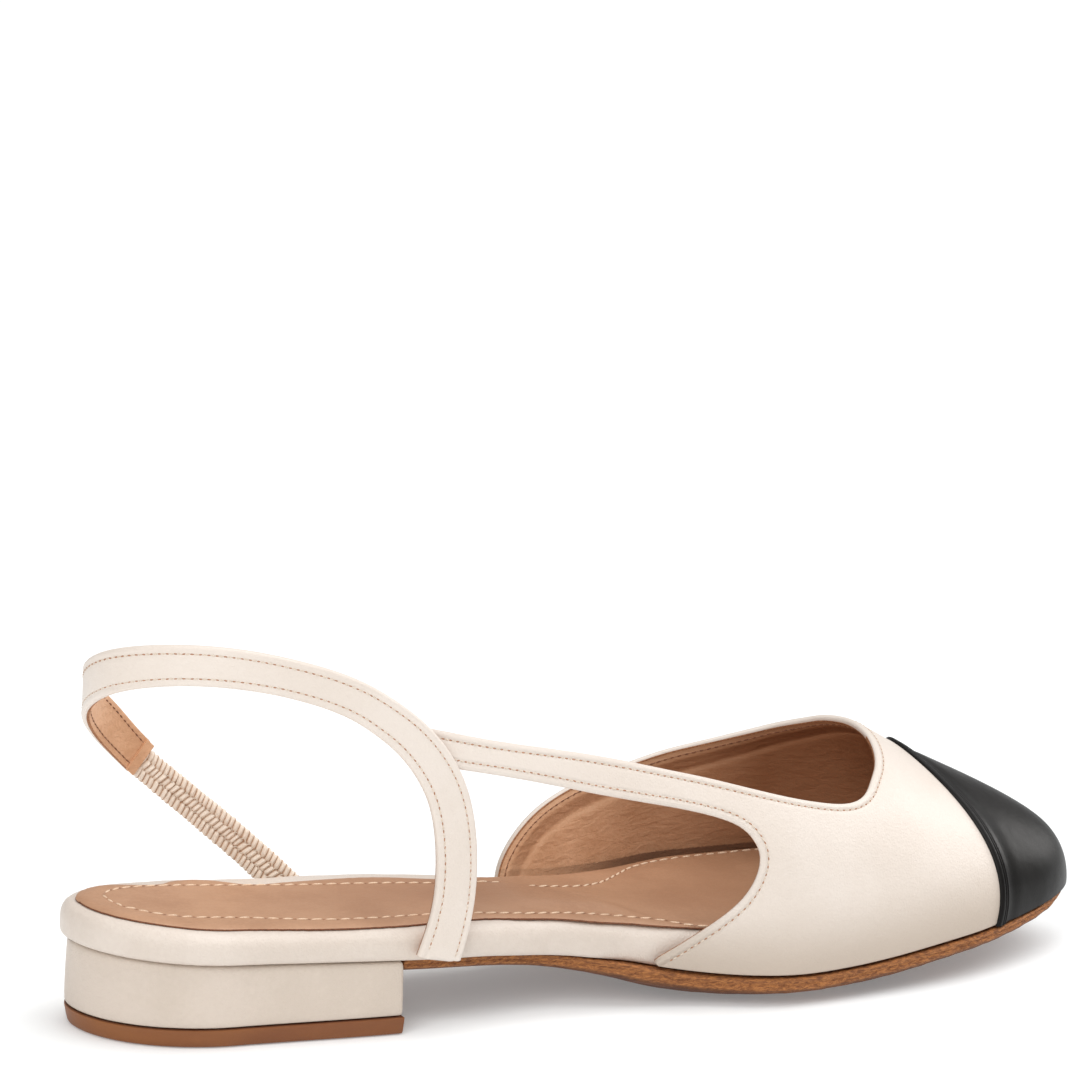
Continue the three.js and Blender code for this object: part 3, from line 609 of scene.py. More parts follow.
def elastic_cover():
    """Thin cream leather gathered on elastic, with painted shade in the bottom of each gather and where
    the stitches pinch it.
    """
    finish = Finish("gathered_cream_cover")
    deep = finish.kept("depth")
    grain = finish.noise(0.5, detail=5)
    creases = finish.noise(0.7, finish.here((1, 1, 2.2)), detail=5, rough=0.7)
    # Painted shade: the cover darkens where its gathers fold down, and turns brown where the stitches
    # pinch it.
    base = finish.colours(colour(234, 219, 203), colour(204, 174, 147), finish.step(deep, 0.5, 1.0))
    pinch_shade = finish.step(deep + creases * 0.8, 1.15, 1.4)
    base = finish.colours(base, colour(168, 124, 94), pinch_shade * 0.8)
    relief_map = finish.bump(grain + creases, 0.1)
    return finish.done(Base_Color=base, Roughness=0.55, Normal=relief_map)


board = sole_board()
heel_tip = moulded_heel_tip()
cream_thread = thread("cream_thread", colour(226, 212, 196), colour(206, 188, 168))
brown_thread = thread("brown_thread", colour(140, 92, 62), colour(96, 58, 36))
pale_thread = thread("pale_thread", colour(238, 214, 188), colour(214, 180, 148))
# Each needle hole is a brown dot: the hole is real, and its darkness is painted shade.
hole_shade = thread("needle_hole_shade", colour(186, 140, 110), colour(158, 112, 84))
gathered = elastic_cover()
print("finishes so far:", len(bpy.data.materials))

# %% [markdown]
# ## Slabs on the plan: top piece, heel, sole, footbed and sock
#
# Five pieces share the outline of the sole and differ in their edges. Each is a stack of rings:
# a ring is the outline pulled in by an inset and lifted to a height that changes along the shoe.
# The top and the bottom are filled with straight rows from side to side, as a plank would be.


# %% Slabs
def stations(start, end, step, round_start=0.0, round_end=0.0):
    """Places along the shoe, closer together where it rounds off."""
    head = start + round_start * (1 - np.cos(np.linspace(0, math.pi / 2, 22))) if round_start else [start]
    tail = end - round_end * (1 - np.sin(np.linspace(0, math.pi / 2, 18))) if round_end else [end]
    middle = np.arange(start + round_start + step, end - round_end - step / 2, step)
    return np.r_[head, middle, tail]


def plan_side(xs, side):
    """Places and outward directions of one side of the plan."""
    y = side * half_width(xs, side)
    along = np.stack([np.gradient(xs), np.gradient(y)], -1)
    out = np.stack([-side * along[:, 1], side * along[:, 0]], -1)
    out /= np.maximum(np.linalg.norm(out, axis=1, keepdims=True), 1e-9)
    closed = np.abs(y - np.where(xs > 100, TOE_TIP_Y, 0)) < 0.05
    out[closed] = np.where(xs[closed] > 100, 1, -1)[:, None] * np.array([1.0, 0.0])
    return np.stack([xs, y], -1), out


def slab(name, xs, rings, grow, finishes, finish_of=None, fill=9, flat_at=None, dish=None,
         measures=()):
    """A stack of rings: (inset, height) or (inset, height, narrow) from the bottom up.

    grow pushes the outline out, height and grow depend on x, and flat_at is a straight end.
    """
    sides = []
    for side in (OUTER, INNER):
        place, out = plan_side(xs, side)
        rows = []
        for inset, height, *narrow in rings:
            push = grow(xs, side) - inset
            flat = place + out * push[:, None]
            if narrow:
                flat[:, 1] *= narrow[0]
            if flat_at is not None:
                end, where = flat_at
                flat[end, 0] = where
                flat[:, 0] = np.maximum(flat[:, 0], where) if end == 0 else np.minimum(flat[:, 0], where)
            rows.append(np.c_[flat, height(flat[:, 0])])
        sides.append(np.stack(rows, 1))
    outer, inner = sides
    share = np.linspace(0, 1, fill + 2)[1:-1][None, :, None]
    top = outer[:, -1:] * (1 - share) + inner[:, -1:] * share
    bottom = inner[:, :1] * (1 - share) + outer[:, :1] * share
    if dish is not None:
        top[..., 2] += dish(top[..., 0], top[..., 1])
    section = np.concatenate([outer, top, inner[:, ::-1], bottom], 1)
    level = np.linspace(0, 1, len(rings))
    height_kept = np.r_[level, np.ones(fill), level[::-1], np.zeros(fill)]
    kept = (("height", height_kept[None, :]),) + tuple(
        (key, worked_out(section[..., 0], section[..., 1])) for key, worked_out in measures)
    return lofted(name, section, finishes, finish_of, measures=kept)


no_growth = lambda x, side: np.zeros_like(x)
block_top = TOP_PIECE_THICKNESS + GAP
print("top piece and heel meet at %.1f mm" % block_top)

# %% [markdown]
# ## Top piece and heel block
#
# The top piece is a low tan block with sides that lean in towards the floor.
# The heel block above it is wrapped in cream leather, which rounds over at its top and bottom edge.
# Both end in a straight breast, whose corners are bevelled as an edge bends the leather round it.


# %% Heel
def breast_corners(piece, width):
    """Fills the open breast and rounds all the edges round it."""
    fill_ends(piece)
    front = (HEEL_BLOCK_LENGTH - 2.5 - ORIGIN_AHEAD) * MM
    for face in piece.data.polygons:
        face.select = len(face.vertices) > 12 and face.center.x > front
    bpy.ops.object.mode_set(mode="EDIT")
    bpy.ops.mesh.select_mode(type="FACE")
    bpy.ops.mesh.region_to_loop()
    bpy.ops.mesh.bevel(offset=width * MM, segments=3, affect="EDGES")
    bpy.ops.mesh.select_mode(type="VERT")
    bpy.ops.mesh.select_all(action="DESELECT")
    bpy.ops.object.mode_set(mode="OBJECT")


def raised(up):
    """A height above the floor, the same all along."""
    return lambda x: 0 * x + up


def block_level(share):
    """A height between the foot and the head of the heel block."""
    return lambda x: block_top + share * (seat(x) - GAP - block_top)


TOP_PIECE_RINGS = ((1.9, 0), (1.55, 0.12), (1.25, 0.5), (0.95, 1.6), (0.7, 2.9), (0.5, 3.8),
                   (0.55, 4.05), (0.8, TOP_PIECE_THICKNESS))
BLOCK_RINGS = ((1.3, 0), (0.8, 0.012), (0.55, 0.04), (0.48, 0.14), (0.5, 0.35), (0.62, 0.6),
               (0.74, 0.8), (0.84, 0.9), (1.05, 0.955), (1.5, 0.99), (2.2, 1.0))
heel_xs = stations(0, HEEL_BLOCK_LENGTH, 1.6, HEEL_ROUND)
top_piece = slab("top_piece_moulded", heel_xs, [(inset, raised(up)) for inset, up in TOP_PIECE_RINGS],
                 no_growth, [heel_tip], flat_at=(-1, HEEL_BLOCK_LENGTH))
breast_corners(top_piece, 0.35)
shaded(top_piece)
heel_block = slab("heel_block_covered", heel_xs,
                  [(inset, block_level(share)) for inset, share in BLOCK_RINGS],
                  no_growth, [cream_heel_shaded], flat_at=(-1, HEEL_BLOCK_LENGTH - 0.4))
breast_corners(heel_block, 0.9)
shaded(heel_block)

# %% [markdown]
# ## Outsole
#
# Seen from the side the outsole rises in the waist, touches the floor under the ball
# and springs at the toe. Its edge stands out a little past the upper and was ground by hand,
# so the outline wavers by a tenth of a millimetre and the edge has a soft waist of its own.


# %% Outsole
def sole_growth(x, side):
    wobble = 0.1 * np.sin(x * 0.9 + side) + 0.07 * np.sin(x * 2.3 + 2 * side)
    return -2.6 + 3.2 * ease(96, 134, x) - 1.4 * ease(226, 248, x) + wobble * ease(90, 120, x)


def under_edge(share):
    """A height on the rounded underside, from the keel to the lower corner of the edge."""
    return lambda x: keel(x) + (edge(x) - keel(x)) * share


def up_edge(share):
    """A height on the edge of the sole, from its lower corner to its top."""
    return lambda x: edge(x) + 0.3 + share * (seat(x) - GAP - edge(x) - 0.3)


UNDERSIDE_RINGS = ((0, 0, 0.42), (0, 0.03, 0.52), (0, 0.1, 0.62), (0, 0.2, 0.71), (0, 0.34, 0.79),
                   (0, 0.48, 0.85), (0, 0.64, 0.905), (0.2, 0.8, 0.955), (0.35, 0.92, 0.99))
EDGE_RINGS = ((0.1, 0.03), (0.0, 0.14), (0.05, 0.34), (0.22, 0.47), (0.24, 0.53), (0.02, 0.64),
              (0.0, 0.84), (0.12, 0.95), (0.6, 1.0))
sole_start = HEEL_BLOCK_LENGTH + GAP
sole_rings = [(inset, under_edge(share), narrow) for inset, share, narrow in UNDERSIDE_RINGS]
sole_rings += [(inset, up_edge(share)) for inset, share in EDGE_RINGS]
outsole = slab("outsole_board", stations(sole_start, SOLE_LENGTH, 1.6, 0, 22), sole_rings,
               sole_growth, [board], fill=13, flat_at=(0, sole_start))
fill_ends(outsole)
shaded(outsole, 50)

# %% [markdown]
# ## Footbed and sock
#
# The footbed is one platform from heel to toe. Its edge is wrapped in cream leather and rounds over
# at the top, and it tucks inside the upper where the upper closes round it.
# The sock is a sheet of tan leather on it with a dark cut edge.
# Over the arch a soft pad lifts the sock, and its front ends in one slanting crease.


# %% Footbed
def tuck(x, side):
    start = 117 if side == OUTER else 101
    overhang = RIM_OVERHANG * (1 - ease(14, 60, x))
    return overhang - (WALL + GAP) * ease(start, start + 12, x) - TOE_TUCK * ease(196, 238, x)


def rim_growth(x, side):
    """The rim's leather is pulled over by hand, which leaves faint waves in it."""
    return tuck(x, side) + 0.1 * np.sin(x * 0.17 + side) * np.sin(x * 0.05)


def rim_level(share, wave=0.0):
    """A height on the rim, from the seat to the bed, with waves that grow towards its shoulder."""
    waves = lambda x: np.sin(x * 0.23) + 0.7 * np.sin(x * 0.41 + 1) + 0.4 * np.sin(x * 0.87)
    return lambda x: seat(x) + share * (bed(x) - seat(x)) + wave * waves(x)


RIM_RINGS = ((1.5, 0), (0.9, 0.012), (0.45, 0.045), (0.15, 0.1), (0.02, 0.19), (0.0, 0.34),
             (0.0, 0.48, 0.03), (0.1, 0.6, 0.08), (0.4, 0.72, 0.11), (0.95, 0.83, 0.11),
             (1.65, 0.91, 0.09), (2.5, 0.965, 0.05), (3.4, 0.99, 0.02), (4.6, 1.0))
footbed = slab("footbed_covered", stations(0, SOLE_LENGTH, 1.8, HEEL_ROUND, 20),
               [(inset, rim_level(*level)) for inset, *level in RIM_RINGS],
               rim_growth, [cream_rim_shaded], fill=11)
shaded(footbed, 60)

# %% [markdown]
# The sock's outline is the footbed's, pulled in by three or four millimetres. On the inner side
# it was cut by hand with a wave behind the heel, so its inset is read from a table.
# Two lines of long stitches run along it, and these are kept as points on the sock,
# so that the same points give the thread its place and the leather its trough.

# %% Sock
NEAR_STITCH = {
    "x": (9.6, 8.8, 10.0, 12.3, 16.6, 22.9, 33.6, 41.2, 47.7, 56.6, 65.5, 71.2, 91.5, 104.1,
          122.7, 134.6, 144.3, 156),
    "y": (3.7, -1.2, -5.4, -8.8, -13.0, -15.4, -16.2, -17.9, -19.7, -21.4, -21.6, -21.6, -20.4, -20.1,
          -17.9, -19.5, -25.6, -31),
}
FAR_STITCH = {
    "x": (10.2, 11.2, 13.4, 17.2, 22.0, 30, 45, 60, 76.9, 92.6, 100.7, 114.9, 130.1, 136.7,
          149.2, 155.9, 164.0, 185.9, 206),
    "y": (4.5, 5.6, 7.8, 9.2, 10.5, 11.0, 9.2, 7.0, 5.1, 4.5, 2.9, 3.8, 7.2, 11.2,
          23.2, 27.0, 29.5, 31.5, 29.5),
}
PAD_CREASE = {
    "x": (104, 114.1, 123.4, 130.6, 135.8, 141.9, 148),
    "y": (5, 1.9, -0.4, -6.4, -16.9, -25.4, -34),
}
SOCK_INSET = {
    "x": (0, 8, 12, 16.7, 23.7, 27.2, 31.8, 36.7, 40.2, 43.9, 46.8, 50.4, 56.8, 68.6,
          76.7, 82.6, 90.3, 94.3, 104, 118, 170, 250),
    "outer": (3.4, 3.9, 4.1, 4.1, 4.2, 4.3, 4.4, 4.2, 3.9, 3.6, 3.3, 3.1, 3.0, 3.3,
              4.0, 4.3, 4.3, 4.0, 2.4, 1.8, 2.4, 2.4),
    "inner": (3.4, 3.6, 4.2, 5.9, 7.6, 7.3, 5.0, 4.4, 5.2, 7.4, 9.2, 9.9, 9.0, 8.2,
              7.9, 7.8, 8.3, 8.5, 6.0, 2.4, 2.4, 2.4),
}


def sock_growth(x, side):
    inset = reading(SOCK_INSET, "outer" if side == OUTER else "inner", 0.8)(x)
    return tuck(x, side) - inset + 0.06 * np.sin(x * 1.9 + side) + 0.05 * np.sin(x * 3.1)


def pad_lift(x, y):
    """The arch pad under the sock: a low swelling that ends along the crease."""
    behind = np.interp(y, PAD_CREASE["y"][::-1], PAD_CREASE["x"][::-1]) - x
    swell = 1.1 * ease(-1.5, 7, behind) * (1 - ease(24, 60, behind))
    trough = -0.35 * np.exp(-((behind + 1.5) / 2.6) ** 2)
    middle = 1 - ease(9, 17, np.abs(y + 1))
    return (swell * middle + trough * (1 - ease(20, 30, np.abs(y)))) * ease(92, 106, x)


def sewn_distance(x, y):
    """How far each place of the sock is from the nearer stitch line."""
    lines = np.concatenate([sock_line(NEAR_STITCH), sock_line(FAR_STITCH)])
    away = np.full(x.shape, 9.0)
    for px, py in lines[::3]:
        away = np.minimum(away, np.hypot(x - px, y - py))
    return away


def sock_line(table):
    """A table's points joined by a smooth line, a quarter of a millimetre apart."""
    points = np.c_[table["x"], table["y"]]
    at = np.r_[0, np.cumsum(np.hypot(*np.diff(points, axis=0).T))]
    fine = np.arange(0, at[-1], 0.25)
    line = np.c_[np.interp(fine, at, points[:, 0]), np.interp(fine, at, points[:, 1])]
    return np.c_[softened(line[:, 0], 10), softened(line[:, 1], 10)]


def shade_under_upper(x, y):
    """Where painted shade darkens the sock: along the waist and under the ball, beneath the upper."""
    waist = np.exp(-(((x - 92) / 42) ** 2) - ((y + 3) / 16) ** 2)
    ball = np.exp(-(((x - 165) / 30) ** 2) - ((y - 2) / 26) ** 2)
    return np.clip(0.62 * waist + 0.5 * ball, 0, 1)


def on_bed(up):
    return lambda x: bed(x) + up


SOCK_RINGS = ((0.2, 0.02), (0.0, 0.1), (0.0, 0.3), (0.12, 0.42), (0.6, 0.6), (1.7, 0.9), (3.0, SOCK_TOP))
SOCK_ROWS = 44
top_end = len(SOCK_RINGS) + SOCK_ROWS
sock = slab(
    "sock_leather", stations(0, SOLE_LENGTH, 1.2, HEEL_ROUND, 20),
    [(inset, on_bed(up)) for inset, up in SOCK_RINGS],
    sock_growth, [sock_tan, sock_edge], fill=SOCK_ROWS, dish=pad_lift,
    finish_of=lambda u, v: 1 if u < 2.8 or top_end + 4.2 < u < top_end + 7 else 0,
    measures=(("worn", shade_under_upper), ("sewn_mm", sewn_distance)))
shaded(sock, 50)

# %% [markdown]
# ## Upper: one wall pulled over the last
#
# The vamp, the inner quarter and the instep strap are one wall, cut open at the throat and at the sides.
# A primitive with holes cut by a modifier shows torn shading along curved cuts. This one is trimmed:
# a fine grid lies on the last, each cell that a cutting line crosses is clipped on that line,
# the same cells are laid again one wall thickness further in, and a rounded edge joins the two skins.
# No primitive can be bent into that, so the wall is the one large piece that is written from arrays.

# %% Cutting lines
OUTER_CUT = (
    (66, 64.6), (80.3, 60.5), (93, 57.8), (106, 54.9), (121, 51.2), (136, 47.6), (146, 44.7),
    (152, 42.4), (155.4, 39.9), (156.7, 36.6), (156.0, 32.6), (153.6, 27.6), (150.0, 23.2),
    (143.6, 17.8), (137.2, 13.2), (131.4, 9.4), (127.4, 4.0),
)
OUTER_TOP = (
    (66, 73.0), (72.5, 71.2), (84, 68.2), (96.5, 65.1), (110, 61.8), (124, 58.3), (135, 55.2),
    (146.3, 52.0), (157, 48.9), (167.6, 45.9), (175, 44.1), (181, 43.0), (185.2, 43.0),
    (188.4, 44.4), (190.2, 46.6), (191.2, 50.0), (191.8, 62.0),
)
INNER_TOP = (
    (112.6, 4.0), (113.2, 14.0), (113.2, 20.0), (116.2, 25.8), (123.0, 32.2), (133.6, 36.7),
    (143, 38.9), (153.4, 40.3), (164, 42.2), (174, 44.1), (184, 46.5), (190, 48.4), (194.5, 49.4),
    (197.6, 51.2), (199.6, 58.0), (199.8, 70.0),
)
THROAT = (
    (120, -4), (165, -8), (182, -13.4), (189.8, -17.6), (192.5, -14.8), (194.6, -11.2),
    (196.3, -7.2), (197.6, -3.0), (198.7, 2.0), (199.4, 7.0), (199.8, 12.0), (199.2, 16.6),
    (197.4, 20.2), (188, 15.0), (165, 8), (120, 4),
)


# %% [markdown]
# A cutting line is drawn smooth through its points, as a pattern maker bends a thin strip of wood.
# The distance of any place from that line then tells what is leather and what was cut away.

# %% Lines and distances
def smooth_line(points, per_span):
    """A smooth line through points, in two or three dimensions, and each point's number along them."""
    points = np.array(points, float)
    padded = np.vstack([2 * points[0] - points[1], points, 2 * points[-1] - points[-2]])
    line, number = [], []
    for i in range(len(points) - 1):
        a, b, c, d = padded[i : i + 4]
        before, here, after = (np.sqrt(np.linalg.norm(q - p)) for p, q in ((a, b), (b, c), (c, d)))
        start = ((b - a) / before - (c - a) / (before + here) + (c - b) / here) * here
        end = ((c - b) / here - (d - b) / (here + after) + (d - c) / after) * here
        for t in np.arange(per_span) / per_span:
            line.append(b + start * t + (3 * (c - b) - 2 * start - end) * t**2
                        + (2 * (b - c) + start + end) * t**3)
            number.append(i + t)
    return np.array(line + [points[-1]]), np.array(number + [len(points) - 1.0])


def beyond(across, up, outline):
    """Distance from a closed outline for many points: positive outside it and negative inside."""
    start = np.asarray(outline, float)
    way = np.roll(start, -1, axis=0) - start
    from_start = np.stack([across, up], -1)[..., None, :] - start
    share = np.clip((from_start * way).sum(-1) / np.maximum((way**2).sum(-1), 1e-12), 0, 1)
    away = np.linalg.norm(from_start - share[..., None] * way, axis=-1).min(-1)
    finish = np.roll(start, -1, axis=0)
    passes = (start[:, 1] > up[..., None]) != (finish[:, 1] > up[..., None])
    rise = np.where(np.abs(way[:, 1]) < 1e-12, 1e-12, way[:, 1])
    meets = start[:, 0] + (up[..., None] - start[:, 1]) * way[:, 0] / rise
    inside = ((across[..., None] < meets) & passes).sum(-1) % 2 == 1
    return np.where(inside, -away, away)


BEHIND, ABOVE = 40, 140
window = np.vstack([(BEHIND, 0), smooth_line(OUTER_CUT, 4)[0], (127, 0)])
outer_above = np.vstack([smooth_line(OUTER_TOP, 4)[0], (192, ABOVE), (BEHIND, ABOVE), (BEHIND, 73)])
inner_above = np.vstack([(BEHIND, 2), (112.5, 2), smooth_line(INNER_TOP, 4)[0],
                         (199.8, ABOVE), (BEHIND, ABOVE)])
throat = np.vstack([(BEHIND, -4), smooth_line(THROAT, 4)[0], (BEHIND, 4)])


def sewn_keep(place):
    """Distance inside the sewn edges of the upper, negative where leather was cut away."""
    x, y, z = np.moveaxis(place, -1, 0)
    far = np.full(x.shape, 99.0)
    return np.minimum.reduce([
        np.where(y < 2, beyond(x, z, window), far),
        np.where(y < -2, beyond(x, z, outer_above), far),
        np.where(y > 2, beyond(x, z, inner_above), far),
        np.where(z > 30, beyond(x, y, throat), far),
    ])


print("cutting lines:", len(window), len(outer_above), len(inner_above), len(throat))


# %% [markdown]
# Trimming keeps a cell of the grid where all its corners are leather, drops it where none is,
# and clips it on the cutting line otherwise. What stays open round the edge is then read as rings.

# %% Trimming a grid
def trimmed(keep):
    """Cells of a grid where keep is positive, as corners (row, column) and faces, clipped at 0."""
    spots, faces, at_node, at_edge = [], [], {}, {}

    def node(i, j):
        if (i, j) not in at_node:
            at_node[i, j] = len(spots)
            spots.append((i, j))
        return at_node[i, j]

    def clip(a, b):
        key = (min(a, b), max(a, b))
        if key not in at_edge:
            share = keep[a] / (keep[a] - keep[b])
            at_edge[key] = len(spots)
            spots.append((a[0] + (b[0] - a[0]) * share, a[1] + (b[1] - a[1]) * share))
        return at_edge[key]

    for i in range(keep.shape[0] - 1):
        for j in range(keep.shape[1] - 1):
            cell = ((i, j), (i + 1, j), (i + 1, j + 1), (i, j + 1))
            inside = [keep[c] > 0 for c in cell]
            if not any(inside):
                continue
            face = []
            for k in range(4):
                if inside[k]:
                    face.append(node(*cell[k]))
                if inside[k] != inside[(k + 1) % 4]:
                    face.append(clip(cell[k], cell[(k + 1) % 4]))
            faces.append(face)
    return np.array(spots, float), faces


def between_cells(values, spots):
    """Values of a grid at places between its rows and columns."""
    low = np.minimum(spots.astype(int), np.array(values.shape[:2]) - 2)
    s, t = (spots - low).T[:, :, None]
    i, j = low.T
    return ((1 - s) * (1 - t) * values[i, j] + s * (1 - t) * values[i + 1, j]
            + (1 - s) * t * values[i, j + 1] + s * t * values[i + 1, j + 1])


def rims(faces):
    """The open edges of a mesh as rings, each in the direction in which its faces run."""
    following = {}
    used = {}
    for face in faces:
        for a, b in zip(face, face[1:] + face[:1]):
            used[a, b] = True
    for a, b in used:
        if (b, a) not in used:
            following[a] = b
    loops = []
    while following:
        first, at = next(iter(following.items()))
        loop = [first]
        del following[first]
        while at != first and at in following:
            loop.append(at)
            at = following.pop(at)
        loops.append(loop)
    return loops


def seam_x(z):
    """Where the toe cap's seam crosses a height: it bows forward halfway down the side."""
    return SEAM_FRONT - SEAM_BOW * (z - SEAM_FRONT_Z) ** 2


# %% [markdown]
# The edge has the half round section of folded leather. Half of it is cream and half is the lining's
# own cut edge, which shows as a thin brown line. On the inner side the fold reaches further round.
# Under the toe cap the wall is thinner, as a skived edge is, and behind the heel strap
# the end of the instep strap dives under it. Each cutting line is one distance field, so a cut
# is moved a little, as a clicker's knife would, by adding a soft hill to the field at that place.

# %% Upper
EDGE_IN = 0.1
EDGE_OUT = 0.55
EDGE_STEPS = 8
STRAP_END = 70
SKIVED = 0.95
DIVE = 0.75
toe_stations = SOLE_LENGTH - 14.5 * (1 - np.sin(np.linspace(0, math.pi / 2, 16)))
upper_xs = np.r_[np.arange(66, 236, 1.35), toe_stations]
turns = np.linspace(-1, 1, 181)
skin = soothed(last_point(upper_xs[:, None], turns[None, :]))
away = outward(skin)
under_cap = ease(1.7, 3.4, skin[..., 0] - seam_x(skin[..., 2]))
dive = 1 - ease(80, 93, skin[..., 0])
sink = -SKIVED * under_cap - DIVE * dive * (skin[..., 1] < 0)
skin = skin + away * sink[..., None]
sewn = sewn_keep(skin)
for _ in range(8):
    sewn[1:-1] = 0.5 * sewn[1:-1] + 0.25 * (sewn[2:] + sewn[:-2])
    sewn[:, 1:-1] = 0.5 * sewn[:, 1:-1] + 0.25 * (sewn[:, 2:] + sewn[:, :-2])
along_foot, across_foot, height_up = np.moveaxis(skin, -1, 0)
vamp_grows = 0.7 * (across_foot < -2) * ease(126, 142, along_foot) * (1 - ease(38, 44, height_up))
throat_opens = 0.7 * ease(184, 197, along_foot) * (1 - ease(2, 14, across_foot)) * (height_up > 38)
corner_fills = 1.1 * np.exp(-(((along_foot - 193) / 6) ** 2) - ((across_foot - 19) / 6) ** 2)
strap_narrows = 0.5 * (across_foot < -2) * (1 - ease(86, 116, along_foot)) * ease(38, 44, height_up)
sewn = sewn + vamp_grows - throat_opens + corner_fills - strap_narrows
foot_keep = skin[..., 2] - (seat(skin[..., 0]) + GAP)
keep = np.minimum.reduce([sewn - EDGE_IN, foot_keep - EDGE_OUT, skin[..., 0] - STRAP_END - EDGE_OUT])
spots, faces = trimmed(keep)
outer_skin = between_cells(skin, spots)
out_of_skin = between_cells(away, spots)
out_of_skin /= np.linalg.norm(out_of_skin, axis=1, keepdims=True)
thickness = WALL - SKIVED * between_cells(under_cap[..., None], spots)
tops = between_cells(np.stack([sewn, foot_keep], -1), spots)
print("upper cells:", len(faces), "corners:", len(spots))


# %% Edge of the upper
def smooth_ring(values, at, reach):
    """Values round a closed ring, eased over reach millimetres."""
    total = at[-1]
    fine = np.linspace(0, total, max(int(total / 0.4), 16), endpoint=False)
    ring = np.stack([np.interp(fine, at, np.r_[v, v[:1]]) for v in values.T], -1)
    width = max(int(3 * reach / 0.4), 1)
    weight = np.exp(-0.5 * (np.arange(-width, width + 1) * 0.4 / reach) ** 2)
    padded = np.vstack([ring[-width:], ring, ring[:width]])
    eased = np.stack([np.convolve(c, weight / weight.sum(), mode="valid") for c in padded.T], -1)
    return np.stack([np.interp(at[:-1], np.r_[fine, total], np.r_[c, c[:1]]) for c in eased.T], -1)


a, b, c = (outer_skin[k] for k in faces[0][:3])
if np.dot(np.cross(b - a, c - a), out_of_skin[faces[0][0]]) < 0:
    faces = [face[::-1] for face in faces]
count = len(outer_skin)
all_places = [outer_skin, outer_skin - out_of_skin * thickness]
all_normals = [out_of_skin, -out_of_skin]
all_faces = [list(face) for face in faces] + [[k + count for k in face[::-1]] for face in faces]
all_finishes = [CREAM] * len(faces) + [TAN] * len(faces)
size = 2 * count
sewn_rims = []
for loop in rims(faces):
    ring = outer_skin[loop]
    steps = np.linalg.norm(np.roll(ring, -1, axis=0) - ring, axis=1)
    at = np.r_[0, np.cumsum(np.maximum(steps, 1e-6))]
    eased = smooth_ring(ring, at, 0.7)
    along = np.roll(eased, -1, axis=0) - np.roll(eased, 1, axis=0)
    side = np.cross(along, out_of_skin[loop])
    side /= np.maximum(np.linalg.norm(side, axis=1, keepdims=True), 1e-9)
    half = thickness[loop] / 2
    rows = [np.array(loop)]
    for k in range(1, EDGE_STEPS):
        angle = math.pi * k / EDGE_STEPS
        bulge = EDGE_OUT * (0.8 if k >= 6 else 1.0)
        normal = out_of_skin[loop] * math.cos(angle) + side * math.sin(angle)
        place = ring - out_of_skin[loop] * half * (1 - math.cos(angle)) + side * bulge * math.sin(angle)
        all_places.append(place)
        all_normals.append(normal)
        rows.append(np.arange(size, size + len(loop)))
        size += len(loop)
    rows.append(np.array(loop) + count)
    for k, (upper_row, lower_row) in enumerate(zip(rows, rows[1:])):
        for m in range(len(loop)):
            n = (m + 1) % len(loop)
            all_faces.append([upper_row[n], upper_row[m], lower_row[m], lower_row[n]])
            cream_steps = EDGE_STEPS // 2 if ring[m][1] < 2 else EDGE_STEPS - 2
            all_finishes.append(CREAM if k < cream_steps else CUT)
    sewn_rims.append((loop, ring, side))
all_places, all_normals = np.vstack(all_places), np.vstack(all_normals)
upper = from_arrays("upper_wall", all_places, [[int(k) for k in face] for face in all_faces],
                    (cream, lining, lining_edge), all_finishes)

# %% [markdown]
# The finishes of the wall read three distances: from the sewn edge, from the sock and from the sole.
# The wall's directions are kept from the last, so the clipped cells along a cut don't show in its shine.

# %% What the wall keeps
edge_points = [p for loop, ring, side in sewn_rims
               for k, p in zip(loop, ring) if tops[k][0] < tops[k][1] + 0.2 and p[0] > STRAP_END + 0.8]
tree = KDTree(len(edge_points))
for k, p in enumerate(edge_points):
    tree.insert(p, k)
tree.balance()
edge_mm = np.array([min(tree.find(p)[2], 12.0) for p in all_places])
edge_mm[: 2 * count] = edge_mm[: 2 * count] + EDGE_OUT * 0.6
measure(upper, "edge_mm", edge_mm)
measure(upper, "above_sock", all_places[:, 2] - bed(all_places[:, 0]) - SOCK_TOP)
measure(upper, "above_sole", all_places[:, 2] - seat(all_places[:, 0]))
upper.data.normals_split_custom_set_from_vertices([Vector(n).normalized() for n in all_normals])
print("upper wall:", len(all_places), "corners,", len(sewn_rims), "cut edge")

# %% [markdown]
# ## Heel strap
#
# The strap is one band from the outer side of the footbed round the back of the heel to the inner side.
# It is swept: a section with rolled edges and two sewn troughs travels along the strap's middle line.
# The outer face is cream, the inner face is lining, and a brown line between them is the cut edge.

# %% Strap sizes
SLING = (
    (76.2, -31.9, 17.4, -6, 10.8), (77.9, -31.8, 22.4, -5, 10.4), (80.0, -31.5, 31.1, -4, 9.9),
    (80.4, -31.0, 42.6, -2, 9.6), (78.3, -30.5, 55.0, 0, 9.3), (72.9, -30.1, 64.6, 2, 9.0),
    (65.4, -29.9, 72.2, 3, 8.6), (53.8, -29.3, 79.2, 5, 8.3), (42.2, -28.1, 83.4, 9, 8.3),
    (31.0, -25.9, 86.0, 17, 8.6), (20.9, -22.2, 86.9, 30, 8.9), (12.0, -16.2, 86.0, 48, 9.1),
    (6.0, -8.2, 83.3, 70, 9.3), (4.4, 0.4, 79.0, 92, 9.4), (6.4, 8.6, 73.8, 116, 9.4),
    (11.4, 15.4, 67.8, 138, 9.4), (18.2, 20.6, 61.3, 156, 9.4), (25.8, 24.0, 54.2, 168, 9.4),
)
